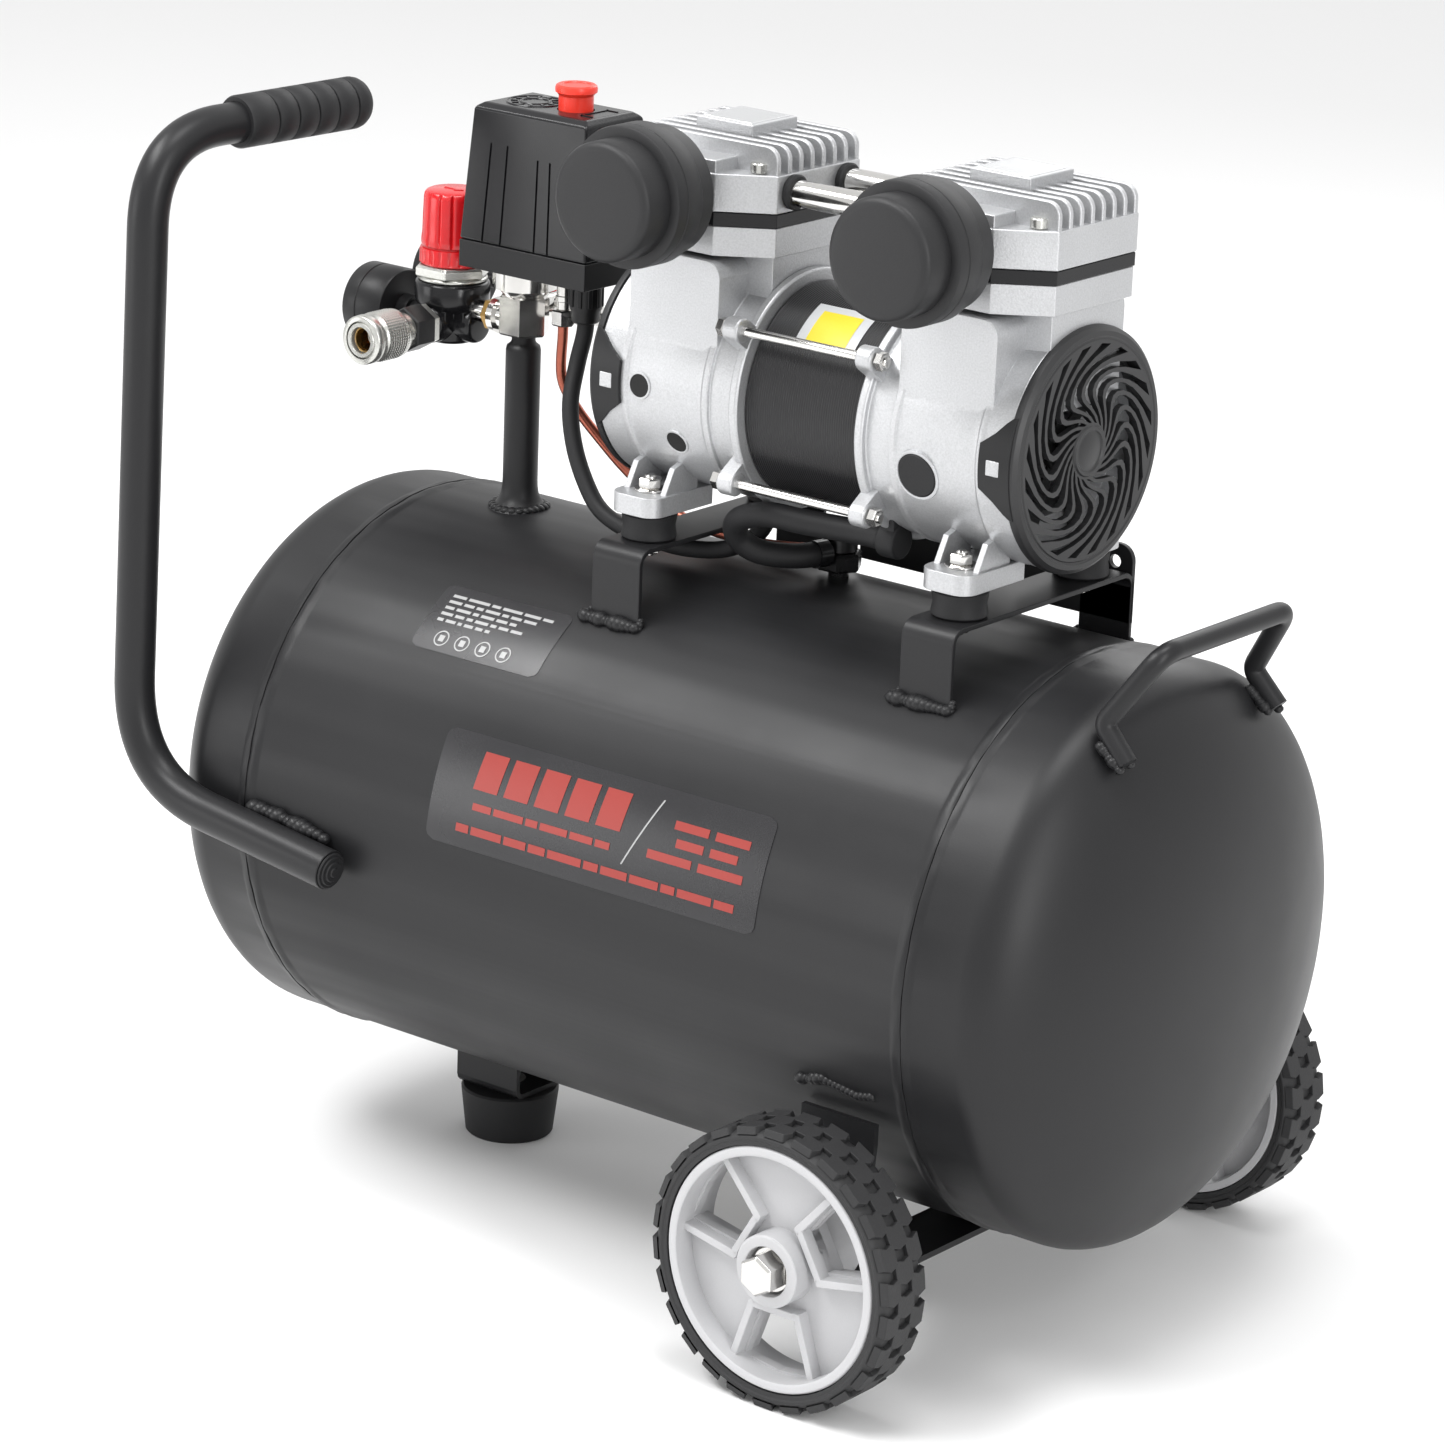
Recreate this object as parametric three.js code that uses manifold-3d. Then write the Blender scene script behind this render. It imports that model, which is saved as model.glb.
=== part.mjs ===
// Horizontal twin-pump, oil-free air compressor on a welded tank.
// Millimetres, +Z up. The origin lies on the floor under the middle of the tank;
// +X runs along the tank towards the wheels and -Y is the side with the controls.
import * as THREE from 'three';
import { mergeVertices } from 'three/addons/utils/BufferGeometryUtils.js';
import Module from 'manifold-3d';

const wasm = await Module();
wasm.setup();

// ---------------------------------------------------------------- driving dimensions

const GAP = 0.3; // clearance between pieces that touch on the real object
const RUNNING_GAP = 0.4; // radial clearance round what turns

// tank
const TANK_RADIUS = 140;
const TANK_WALL = 2.2;
const TANK_AXIS_Z = 190.2;
const BARREL_LENGTH = 401.4;
const HEAD_STRAIGHT = 29;
const HEAD_DEPTH = 51.5;
const JOGGLE = 10;
const SEAM_RISE = 1;
const SEAM_WIDTH = 3;
const TANK_FACETS = 36;

// how many flat facets stand for a round surface
const LARGE = 24;
const MEDIUM = 16;
const SMALL = 8;

// wheels
const WHEEL_RADIUS = 67.8;
const WHEEL_X = 161.3;
const WHEEL_FACE_Y = 179.4;
const TYRE_WIDTH = 30;
const RIM_RADIUS = 58.4;
const RIM_WALL = 5;
const RIM_INSET = 0.8;
const HUB_RADIUS = 17.3;
const HUB_RECESS_RADIUS = 12;
const HUB_RECESS_DEPTH = 6;
const WEB_THICKNESS = 5;
const SPOKE_COUNT = 3;
const SPOKE_RIB = 3.2;
const SPOKE_RIB_DEPTH = 18;
const WHEEL_BOLT_RADIUS = 5;
const WHEEL_BOLT_FLATS = 17;
const WHEEL_BOLT_HEAD = 11;

// wheel bracket
const WHEEL_BRACKET_THICKNESS = 3;
const WHEEL_BRACKET_WIDTH = 32;
const WHEEL_BRACKET_TOP_WIDTH = 42;
const WHEEL_BRACKET_HALF_SPAN = 131;
const WHEEL_BRACKET_TOP_Z = 130;

// foot
const FOOT_X = -145.4;
const FOOT_HEIGHT = 25;
const FOOT_RADIUS = 22.5;
const FOOT_TOP_RADIUS = 25;
const FOOT_BRACKET_LENGTH = 40;
const FOOT_BRACKET_HALF_SPAN = 18.5;
const FOOT_BRACKET_THICKNESS = 2.5;

// pump brackets and rubber mounts
const PUMP_CENTRE_X = 64;
const PUMP_AXIS_Z = 422.4;
const MOUNT_OFFSET_X = 91.25;
const MOUNT_OFFSET_Y = 48;
const MOUNT_RADIUS = 13.3;
const MOUNT_HEIGHT = 13;
const STUD_RADIUS = 3;
const BRACKET_WIDTH = 29;
const BRACKET_HALF_SPAN = 72;
const BRACKET_THICKNESS = 2.5;
const BRACKET_TOP_Z = 348;
const BRACKET_BEND = 8;
const REAR_PLATE_START_X = 10;
const REAR_PLATE_BOTTOM_Z = 322;
const REAR_PLATE_TOP_Z = 360;

// pump castings, measured from the middle of the motor along its shaft
const RING_START = 34;
const RING_WIDTH = 5;
const RING_RADIUS = 58;
const CASE_RADIUS = 56;
const CASE_END = 119;
const STATOR_RADIUS = 52;
const STATOR_SPIGOT_RADIUS = 50;
const STATOR_SPIGOT = 10;
const STATOR_BORE = 31;
const ROTOR_RADIUS = 30;
const SHAFT_RADIUS = 6;
const INNER_WALL = [60, 66];
const OUTER_WALL = [98, 104];
const CRANK_CHAMBER_RADIUS = 45;
const CYLINDER_OFFSET = 79.25;
const CYLINDER_BORE = 31.7;
const CRANK_THROW = 5;
const CRANK_RADIUS = 12;
const STEP_Z = 66.6;
const CASE_TOP_Z = 80.6;
const GASKET_THICKNESS = 6.6;
const HEAD_BLOCK = 18;
const FIN_TOP = 31;
const PAD_TOP = 36;
const PAD_SIZE = 34;
const FIN_COUNT = 8;
const FIN_THICKNESS = 2.8;
const HEAD_HALF_LENGTH = 44;
const HEAD_END_HALF_WIDTH = 31;
const HEAD_MID_HALF_WIDTH = 48;
const HEAD_MID_HALF_LENGTH = 19.5;
const PANEL_HALF_LENGTH = 26.5;
const PANEL_Y = 50;
const ROD_Y = 54;
const ROD_Z = 36.5;
const ROD_RADIUS = 2.4;
const LUG_RADIUS = 6;
const LUG_LENGTH = 9;
const CASE_FOOT_THICKNESS = 9.7;
const CASE_FOOT_WIDTH = 28;
const CASE_FOOT_END_Y = 63;
const CASE_FOOT_START_Y = 20;
const COVER_RADIUS = 57.7;
const COVER_FACE_RADIUS = 55.4;
const COVER_THICKNESS = 5.3;
const TAB_START = 104.5;
const TAB_TIP_HALF = 10;
const TAB_ROOT_HALF = 23;
const TAB_THICKNESS = 2;
const GRILLE_RIBS = 14;
const GRILLE_INNER = 13;
const GRILLE_OUTER = 48;
const FAN_RADIUS = 45;
const FAN_BLADES = 7;

// air filters and transfer pipes
const PORT_Z = 96.9;
const FILTER_END_Y = 107;
const FILTER_CAP_RADIUS = 28;
const FILTER_CAP_DEPTH = 17;
const FILTER_BODY_RADIUS = 33.3;
const FILTER_BODY_DEPTH = 18;
const FILTER_NECK_RADIUS = 9;
const TRANSFER_Y = 20;
const TRANSFER_RADIUS = 6.35;
const TRANSFER_ENTRY = 6;

// riser pipe and manifold
const RISER_X = -149;
const RISER_RADIUS = 8.7;
const RISER_BORE = 4.5;
const RISER_NECK_RADIUS = 6.3;
const RISER_TOP_Z = 412.8;
const RISER_THREAD = 14;
const RISER_FLARE_RADIUS = 14;
const RISER_FLARE_HEIGHT = 7;
const MANIFOLD_RADIUS = 11.5;
const MANIFOLD_BOTTOM_Z = 417.5;
const SWITCH_BOTTOM_Z = 451.7;
const INLET_Z = 424;

// pressure switch
const SWITCH_X = -130.5;
const SWITCH_WIDTH = 80;
const SWITCH_DEPTH = 50;
const SWITCH_TOP_WIDTH = 71;
const SWITCH_TOP_DEPTH = 43;
const SWITCH_SPLIT_Z = 465.4;
const SWITCH_SHOULDER_Z = 530.5;
const SWITCH_TOP_Z = 533;
const SWITCH_WALL = 2.2;
const SWITCH_CHAMFER = 4;
const BUTTON_X = -119.7;
const BUTTON_TOP_Z = 545.6;
const BUTTON_RADIUS = 8.5;
const BUTTON_FLANGE_RADIUS = 10.3;
const BUTTON_TRAVEL = 6;
const GLAND_X = -110;
const GLAND_RADIUS = 8;
const GLAND_END_Z = 430;
const LEAD_RADIUS = 4.2;
const UNLOADER_X = -122;
const UNLOADER_RADIUS = 2.6;
const UNLOADER_NUT_RADIUS = 5;
const UNLOADER_NUT_END_Z = 426;

// pressure regulator, gauges and quick coupler
const REGULATOR_X = -196;
const REGULATOR_RADIUS = 18.7;
const REGULATOR_BOTTOM_Z = 406;
const REGULATOR_WAIST_Z = 426;
const REGULATOR_TOP_Z = 437;
const REGULATOR_NUT_TOP_Z = 445;
const REGULATOR_NUT_FLATS = 34;
const REGULATOR_LOBE_RADIUS = 9.5;
const OUTLET_Z = 416.5;
const KNOB_COLLAR_RADIUS = 16.6;
const KNOB_COLLAR_TOP_Z = 454;
const KNOB_RADIUS = 15;
const KNOB_TOP_Z = 482;
const SPINDLE_RADIUS = 5;
const GAUGE_RADIUS = 20;
const GAUGE_DEPTH = 25;
const GAUGE_FACE_X = -252;
const GAUGE_STEM_RADIUS = 5;
const GAUGE_DIAL_RADIUS = 17.5;
const GAUGE_DIAL_DEPTH = 4;
const NEEDLE_LENGTH = 13;
const NEEDLE_ZERO = (3 * Math.PI) / 4; // how far left of upright the dial's zero lies
const TANK_GAUGE_FACE_X = -241;
const TANK_GAUGE_Y = 39.5;
const TANK_GAUGE_Z = 428.4;
const COUPLER_FRONT_Y = -67;
const COUPLER_SLEEVE_RADIUS = 12.3;
const COUPLER_SLEEVE_LENGTH = 25;
const COUPLER_BODY_RADIUS = 9;
const COUPLER_BORE = 6.4;
const COUPLER_BORE_DEPTH = 26;
const COUPLER_HEX_FLATS = 19;
const COUPLER_HEX_FRONT_Y = -36;
const SAFETY_VALVE_Y = 20;
const SAFETY_VALVE_END_X = -112;

// carry handle and lift handle
const HANDLE_RADIUS = 10;
const HANDLE_WALL = 1.6;
const HANDLE_Y = -(TANK_RADIUS + SEAM_RISE + HANDLE_RADIUS + GAP);
const HANDLE_LOW_BEND = 58;
const HANDLE_TOP_BEND = 45;
const GRIP_RADIUS = 13;
const GRIP_LENGTH = 86;
const GRIP_END_WALL = 4;
const LIFT_RADIUS = 5;
const LIFT_BEND = 12;

// valves at the tank
const CHECK_VALVE_X = 38;
const CHECK_VALVE_Y = 16;
const CHECK_VALVE_FLATS = 20;
const CHECK_VALVE_TOP_Z = 353;
const CHECK_VALVE_PORT_Z = 343;
const HOSE_RADIUS = 6;
const HOSE_PORT_Y = -28;
const HOSE_PORT_Z = -54;
const DRAIN_RADIUS = 7;
const DRAIN_STEM_RADIUS = 4;

// ---------------------------------------------------------------- materials

const finish = (color, roughness, metalness) =>
  new THREE.MeshStandardMaterial({ color, roughness, metalness });

const tankPaint = finish(0x2b2b2d, 0.5, 0.1);
const castAluminium = finish(0xc4c6c8, 0.45, 0.6);
const steel = finish(0xb5b5b2, 0.3, 0.9);
const brass = finish(0xb08d4a, 0.35, 0.9);
const copper = finish(0x9a4b38, 0.35, 0.8);
const blackPlastic = finish(0x1c1c1d, 0.45, 0);
const rubber = finish(0x202021, 0.8, 0);
const lamination = finish(0x1a1a1b, 0.6, 0.3);
const whitePlastic = finish(0xe6e5e3, 0.5, 0);
const redPlastic = finish(0xc8141c, 0.35, 0);
const needleWhite = finish(0xd8d8d8, 0.5, 0);

// ---------------------------------------------------------------- geometry helpers

// A closed solid: shared vertices are merged, slivers dropped and faces turned outwards.
function solid(geometry) {
  const bare = geometry.clone();
  bare.deleteAttribute('normal');
  bare.deleteAttribute('uv');
  const merged = mergeVertices(bare, 1e-4);
  const position = merged.attributes.position;
  const corners = merged.index.array;
  const a = new THREE.Vector3();
  const b = new THREE.Vector3();
  const c = new THREE.Vector3();
  const kept = [];
  let volume = 0;
  for (let i = 0; i < corners.length; i += 3) {
    const [p, q, r] = [corners[i], corners[i + 1], corners[i + 2]];
    if (p !== q && q !== r && r !== p) {
      kept.push(p, q, r);
      a.fromBufferAttribute(position, p);
      b.fromBufferAttribute(position, q);
      c.fromBufferAttribute(position, r);
      volume += a.dot(b.cross(c));
    }
  }
  if (volume < 0) kept.reverse();
  const mesh = new wasm.Mesh({
    numProp: 3,
    vertProperties: Float32Array.from(position.array),
    triVerts: Uint32Array.from(kept),
  });
  return new wasm.Manifold(mesh);
}

function fromSolid(manifold) {
  const mesh = manifold.getMesh();
  const geometry = new THREE.BufferGeometry();
  geometry.setAttribute('position', new THREE.BufferAttribute(mesh.vertProperties, 3));
  geometry.setIndex(new THREE.BufferAttribute(mesh.triVerts, 1));
  return geometry;
}

const join = (first, ...others) =>
  fromSolid(others.reduce((sum, other) => sum.add(solid(other)), solid(first)));

const cut = (body, ...tools) =>
  fromSolid(tools.reduce((rest, tool) => rest.subtract(solid(tool)), solid(body)));

const common = (a, b) => fromSolid(solid(a).intersect(solid(b)));

function moved(geometry, x, y, z) {
  return geometry.clone().translate(x, y, z);
}

function box(low, high) {
  const size = high.map((value, i) => value - low[i]);
  const middle = high.map((value, i) => (value + low[i]) / 2);
  return new THREE.BoxGeometry(...size).translate(...middle);
}

// Turns a profile of [distance along the axis, radius] points round the x, y or z axis.
function turned(profile, axis, facets = MEDIUM) {
  const points = profile.map(([along, radius]) => new THREE.Vector2(radius, along));
  const geometry = new THREE.LatheGeometry(points, facets);
  if (axis === 'x') geometry.rotateZ(-Math.PI / 2);
  if (axis === 'z') geometry.rotateX(Math.PI / 2);
  return geometry;
}

const cylinder = (radius, from, to, axis, facets = MEDIUM) =>
  turned([[from, 0], [from, radius], [to, radius], [to, 0]], axis, facets);

const ring = (outer, inner, from, to, axis, facets = MEDIUM) =>
  turned([[from, inner], [from, outer], [to, outer], [to, inner], [from, inner]], axis, facets);

// A regular hexagonal bar, sized across its flats.
const hexagon = (flats, from, to, axis) => cylinder(flats / Math.sqrt(3), from, to, axis, 6);

const outline = (points) => new THREE.Shape(points.map(([x, y]) => new THREE.Vector2(x, y)));

// A flat outline drawn in x and y, raised from one z to another.
const prism = (points, from, to) =>
  new THREE.ExtrudeGeometry(outline(points), { depth: to - from, bevelEnabled: false })
    .translate(0, 0, from);

// An outline drawn in y and z, run along x.
const prismX = (points, from, to) =>
  prism(points, from, to).rotateX(Math.PI / 2).rotateZ(Math.PI / 2);

// An outline drawn in x and z, run along y.
const prismY = (points, from, to) => prism(points, -to, -from).rotateX(Math.PI / 2);

// A box whose top is smaller than its foot.
function taperedBox(centre, foot, top, from, to) {
  const geometry = new THREE.BoxGeometry(foot[0], foot[1], to - from);
  const position = geometry.attributes.position;
  for (let i = 0; i < position.count; i += 1) {
    if (position.getZ(i) > 0) {
      position.setX(i, (position.getX(i) * top[0]) / foot[0]);
      position.setY(i, (position.getY(i) * top[1]) / foot[1]);
    }
  }
  return geometry.translate(centre[0], centre[1], (from + to) / 2);
}

// A line through corner points with each inner corner rounded to a bend radius.
function bentPath(corners, bends) {
  const path = new THREE.CurvePath();
  const points = corners.map((corner) => new THREE.Vector3(...corner));
  let start = points[0];
  for (let i = 1; i < points.length - 1; i += 1) {
    const back = points[i - 1].clone().sub(points[i]).normalize();
    const on = points[i + 1].clone().sub(points[i]).normalize();
    const reach = bends[i - 1] / Math.tan(back.angleTo(on) / 2);
    const entry = points[i].clone().addScaledVector(back, reach);
    const exit = points[i].clone().addScaledVector(on, reach);
    path.add(new THREE.LineCurve3(start, entry));
    path.add(new THREE.QuadraticBezierCurve3(entry, points[i], exit));
    start = exit;
  }
  path.add(new THREE.LineCurve3(start, points[points.length - 1]));
  return path;
}

const smoothPath = (points) =>
  new THREE.CatmullRomCurve3(points.map((point) => new THREE.Vector3(...point)), false, 'centripetal');

function circle(radius, sides) {
  const corners = [];
  for (let i = 0; i < sides; i += 1) {
    const angle = (i * 2 * Math.PI) / sides;
    corners.push(new THREE.Vector2(radius * Math.cos(angle), radius * Math.sin(angle)));
  }
  return corners;
}

function rod(path, radius, sides, steps, bore = 0) {
  const section = new THREE.Shape(circle(radius, sides));
  if (bore > 0) section.holes.push(new THREE.Path(circle(bore, sides)));
  return new THREE.ExtrudeGeometry(section, { steps, bevelEnabled: false, extrudePath: path });
}

const compressor = new THREE.Group();
const tank = new THREE.Group();
tank.position.set(0, 0, TANK_AXIS_Z);
const pump = new THREE.Group();
pump.position.set(PUMP_CENTRE_X, 0, PUMP_AXIS_Z);
compressor.add(tank, pump);

function add(parent, name, geometry, material, place = [0, 0, 0]) {
  const mesh = new THREE.Mesh(geometry, material);
  mesh.name = name;
  mesh.position.set(...place);
  parent.add(mesh);
}

const SIDES = [['left', -1], ['right', 1]];

// ---------------------------------------------------------------- tank

// The outside of the tank, used to cut what stands on it; centred on the tank axis.
const tankEnvelope = cylinder(
  TANK_RADIUS + GAP, -BARREL_LENGTH / 2, BARREL_LENGTH / 2, 'x', TANK_FACETS);
const tankEnvelopeAtFloor = moved(tankEnvelope, 0, 0, TANK_AXIS_Z);
const tankBottomZ = TANK_AXIS_Z - TANK_RADIUS;

function tankBarrel() {
  const end = BARREL_LENGTH / 2 - GAP / 2;
  const bead = TANK_RADIUS + SEAM_RISE;
  const inner = TANK_RADIUS - TANK_WALL;
  const shell = turned([
    [-end, inner], [-end, bead], [SEAM_WIDTH - end, bead], [2 * SEAM_WIDTH - end, TANK_RADIUS],
    [end - 2 * SEAM_WIDTH, TANK_RADIUS], [end - SEAM_WIDTH, bead], [end, bead], [end, inner],
    [-end, inner],
  ], 'x', TANK_FACETS);
  const riserHole = moved(cylinder(RISER_BORE + GAP, 0, TANK_RADIUS + 10, 'z', SMALL), RISER_X, 0, 0);
  const valveHole = moved(
    cylinder(HOSE_RADIUS + GAP, 0, TANK_RADIUS + 10, 'z', SMALL), CHECK_VALVE_X, CHECK_VALVE_Y, 0);
  const drainHole = cylinder(DRAIN_STEM_RADIUS + GAP, -TANK_RADIUS - 10, 0, 'z', SMALL);
  return cut(shell, riserHole, valveHole, drainHole);
}

// A dished end: an ellipsoidal cap, a straight skirt and a joggled lip inside the barrel.
function tankHead(side) {
  const seam = BARREL_LENGTH / 2 + GAP / 2;
  const straightEnd = BARREL_LENGTH / 2 + HEAD_STRAIGHT;
  const inner = TANK_RADIUS - TANK_WALL;
  const lip = inner - GAP;
  const outerSteps = 5;
  const innerSteps = 3;
  const profile = [[straightEnd + HEAD_DEPTH, 0]];
  for (let i = 1; i <= outerSteps; i += 1) {
    const angle = (i * Math.PI) / (2 * outerSteps);
    profile.push([straightEnd + HEAD_DEPTH * Math.cos(angle), TANK_RADIUS * Math.sin(angle)]);
  }
  profile.push([seam + 2 * SEAM_WIDTH, TANK_RADIUS]);
  profile.push([seam + SEAM_WIDTH, TANK_RADIUS + SEAM_RISE]);
  profile.push([seam, TANK_RADIUS + SEAM_RISE]);
  profile.push([seam, lip], [seam - JOGGLE, lip], [seam - JOGGLE, lip - TANK_WALL]);
  const innerDepth = HEAD_DEPTH - 2 * TANK_WALL;
  for (let i = innerSteps; i >= 1; i -= 1) {
    const angle = (i * Math.PI) / (2 * innerSteps);
    profile.push([straightEnd + innerDepth * Math.cos(angle), (lip - TANK_WALL) * Math.sin(angle)]);
  }
  profile.push([straightEnd + innerDepth, 0]);
  return turned(profile.map(([along, radius]) => [side * along, radius]), 'x', TANK_FACETS);
}

add(tank, 'tank_barrel', tankBarrel(), tankPaint);
add(tank, 'tank_head_left', fromSolid(solid(tankHead(-1))), tankPaint);
add(tank, 'tank_head_right', fromSolid(solid(tankHead(1))), tankPaint);

// Steel pipe from the tank to the manifold, with a flared weld at its foot.
function riserPipe() {
  const foot = TANK_RADIUS - TANK_WALL;
  const top = RISER_TOP_Z - TANK_AXIS_Z;
  const pipe = turned([
    [foot, RISER_BORE], [foot, RISER_FLARE_RADIUS], [TANK_RADIUS + 1, RISER_FLARE_RADIUS],
    [TANK_RADIUS + RISER_FLARE_HEIGHT, RISER_RADIUS], [top - 2, RISER_RADIUS],
    [top, RISER_NECK_RADIUS], [top + RISER_THREAD, RISER_NECK_RADIUS],
    [top + RISER_THREAD, RISER_BORE], [foot, RISER_BORE],
  ], 'z', MEDIUM);
  return cut(moved(pipe, RISER_X, 0, 0), tankEnvelope);
}

add(tank, 'riser_pipe', riserPipe(), tankPaint);

function drainValve() {
  const body = turned([
    [-TANK_RADIUS - 14, 0], [-TANK_RADIUS - 14, DRAIN_RADIUS], [-TANK_RADIUS - 1, DRAIN_RADIUS],
    [-TANK_RADIUS - 1, DRAIN_STEM_RADIUS], [-TANK_RADIUS + 5, DRAIN_STEM_RADIUS],
    [-TANK_RADIUS + 5, 0],
  ], 'z', SMALL);
  const wing = box([-12, -1.5, -TANK_RADIUS - 20], [12, 1.5, -TANK_RADIUS - 10]);
  return join(body, wing);
}

add(tank, 'drain_valve', drainValve(), brass);

// ---------------------------------------------------------------- pump brackets

// The outline of a U-plate seen along the tank, with rounded bends.
function channelOutline(halfSpan, topZ, footZ, thickness, bend) {
  const inside = bend - thickness;
  const points = [[-halfSpan, footZ]];
  const arc = (centreY, centreZ, radius, from, to) => {
    for (let i = 0; i <= 3; i += 1) {
      const angle = from + ((to - from) * i) / 3;
      points.push([centreY + radius * Math.cos(angle), centreZ + radius * Math.sin(angle)]);
    }
  };
  arc(bend - halfSpan, topZ - bend, bend, Math.PI, Math.PI / 2);
  arc(halfSpan - bend, topZ - bend, bend, Math.PI / 2, 0);
  points.push([halfSpan, footZ], [halfSpan - thickness, footZ]);
  arc(halfSpan - bend, topZ - bend, inside, 0, Math.PI / 2);
  arc(bend - halfSpan, topZ - bend, inside, Math.PI / 2, Math.PI);
  points.push([thickness - halfSpan, footZ]);
  return points;
}

function pumpBracket(side) {
  const centreX = PUMP_CENTRE_X + side * MOUNT_OFFSET_X;
  const section = channelOutline(
    BRACKET_HALF_SPAN, BRACKET_TOP_Z, TANK_AXIS_Z + 100, BRACKET_THICKNESS, BRACKET_BEND);
  const holes = [-1, 1].map((end) => moved(
    cylinder(STUD_RADIUS + GAP, BRACKET_TOP_Z - 10, BRACKET_TOP_Z + 1, 'z', SMALL),
    centreX, end * MOUNT_OFFSET_Y, 0));
  const bent = prismX(section, centreX - BRACKET_WIDTH / 2, centreX + BRACKET_WIDTH / 2);
  return cut(bent, tankEnvelopeAtFloor, ...holes);
}

// The right bracket also carries an upright plate behind the motor, with a hole at its end.
function rearPlate() {
  const end = PUMP_CENTRE_X + MOUNT_OFFSET_X + BRACKET_WIDTH / 2;
  const corner = 6;
  const points = [
    [REAR_PLATE_START_X, REAR_PLATE_BOTTOM_Z], [end, REAR_PLATE_BOTTOM_Z],
    [end, REAR_PLATE_TOP_Z - corner], [end - corner, REAR_PLATE_TOP_Z],
    [REAR_PLATE_START_X + corner, REAR_PLATE_TOP_Z], [REAR_PLATE_START_X, REAR_PLATE_TOP_Z - corner],
  ];
  const front = BRACKET_HALF_SPAN - BRACKET_THICKNESS;
  const plate = prismY(points, front, BRACKET_HALF_SPAN);
  const hole = moved(cylinder(STUD_RADIUS, front - 1, BRACKET_HALF_SPAN + 1, 'y', SMALL),
    end - 10, 0, REAR_PLATE_TOP_Z - 10);
  return cut(plate, hole);
}

add(compressor, 'pump_bracket_left', pumpBracket(-1), tankPaint);
add(compressor, 'pump_bracket_right', join(pumpBracket(1), rearPlate()), tankPaint);

// Rubber bobbin with a threaded stud at each end.
function rubberMount() {
  const footTop = MOUNT_HEIGHT + CASE_FOOT_THICKNESS;
  const waist = MOUNT_RADIUS - 0.7;
  return turned([
    [-8, 0], [-8, STUD_RADIUS], [GAP, STUD_RADIUS], [GAP, MOUNT_RADIUS],
    [MOUNT_HEIGHT / 2, waist], [MOUNT_HEIGHT - GAP, MOUNT_RADIUS], [MOUNT_HEIGHT - GAP, STUD_RADIUS],
    [footTop + 8, STUD_RADIUS], [footTop + 8, 0],
  ], 'z', MEDIUM);
}

for (const [sideName, side] of SIDES) {
  for (const [endName, end] of [['front', -1], ['rear', 1]]) {
    add(compressor, `rubber_mount_${sideName}_${endName}`, fromSolid(solid(rubberMount())), rubber,
      [PUMP_CENTRE_X + side * MOUNT_OFFSET_X, end * MOUNT_OFFSET_Y, BRACKET_TOP_Z]);
  }
}

// ---------------------------------------------------------------- foot and wheels

function footBracket() {
  const plateZ = FOOT_HEIGHT + GAP;
  const flat = channelOutline(
    FOOT_BRACKET_HALF_SPAN, -plateZ, -tankBottomZ - 15, FOOT_BRACKET_THICKNESS, 5);
  const section = flat.map(([y, z]) => [-y, -z]);
  const channel = prismX(
    section, FOOT_X - FOOT_BRACKET_LENGTH / 2, FOOT_X + FOOT_BRACKET_LENGTH / 2);
  const hole = moved(cylinder(STUD_RADIUS + GAP, FOOT_HEIGHT - 1, FOOT_HEIGHT + 10, 'z', SMALL),
    FOOT_X, 0, 0);
  return cut(channel, tankEnvelopeAtFloor, hole);
}

function rubberFoot() {
  return turned([
    [0, 0], [0, FOOT_RADIUS - 1], [1, FOOT_RADIUS], [FOOT_HEIGHT - 2, FOOT_TOP_RADIUS],
    [FOOT_HEIGHT, FOOT_TOP_RADIUS - 2], [FOOT_HEIGHT, STUD_RADIUS],
    [FOOT_HEIGHT + FOOT_BRACKET_THICKNESS + 2 * GAP, STUD_RADIUS],
    [FOOT_HEIGHT + FOOT_BRACKET_THICKNESS + 2 * GAP, 2 * STUD_RADIUS],
    [FOOT_HEIGHT + FOOT_BRACKET_THICKNESS + 6, 2 * STUD_RADIUS],
    [FOOT_HEIGHT + FOOT_BRACKET_THICKNESS + 6, 0],
  ], 'z', MEDIUM);
}

add(compressor, 'foot_bracket', footBracket(), tankPaint);
add(compressor, 'rubber_foot', fromSolid(solid(rubberFoot())), rubber, [FOOT_X, 0, 0]);

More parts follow.
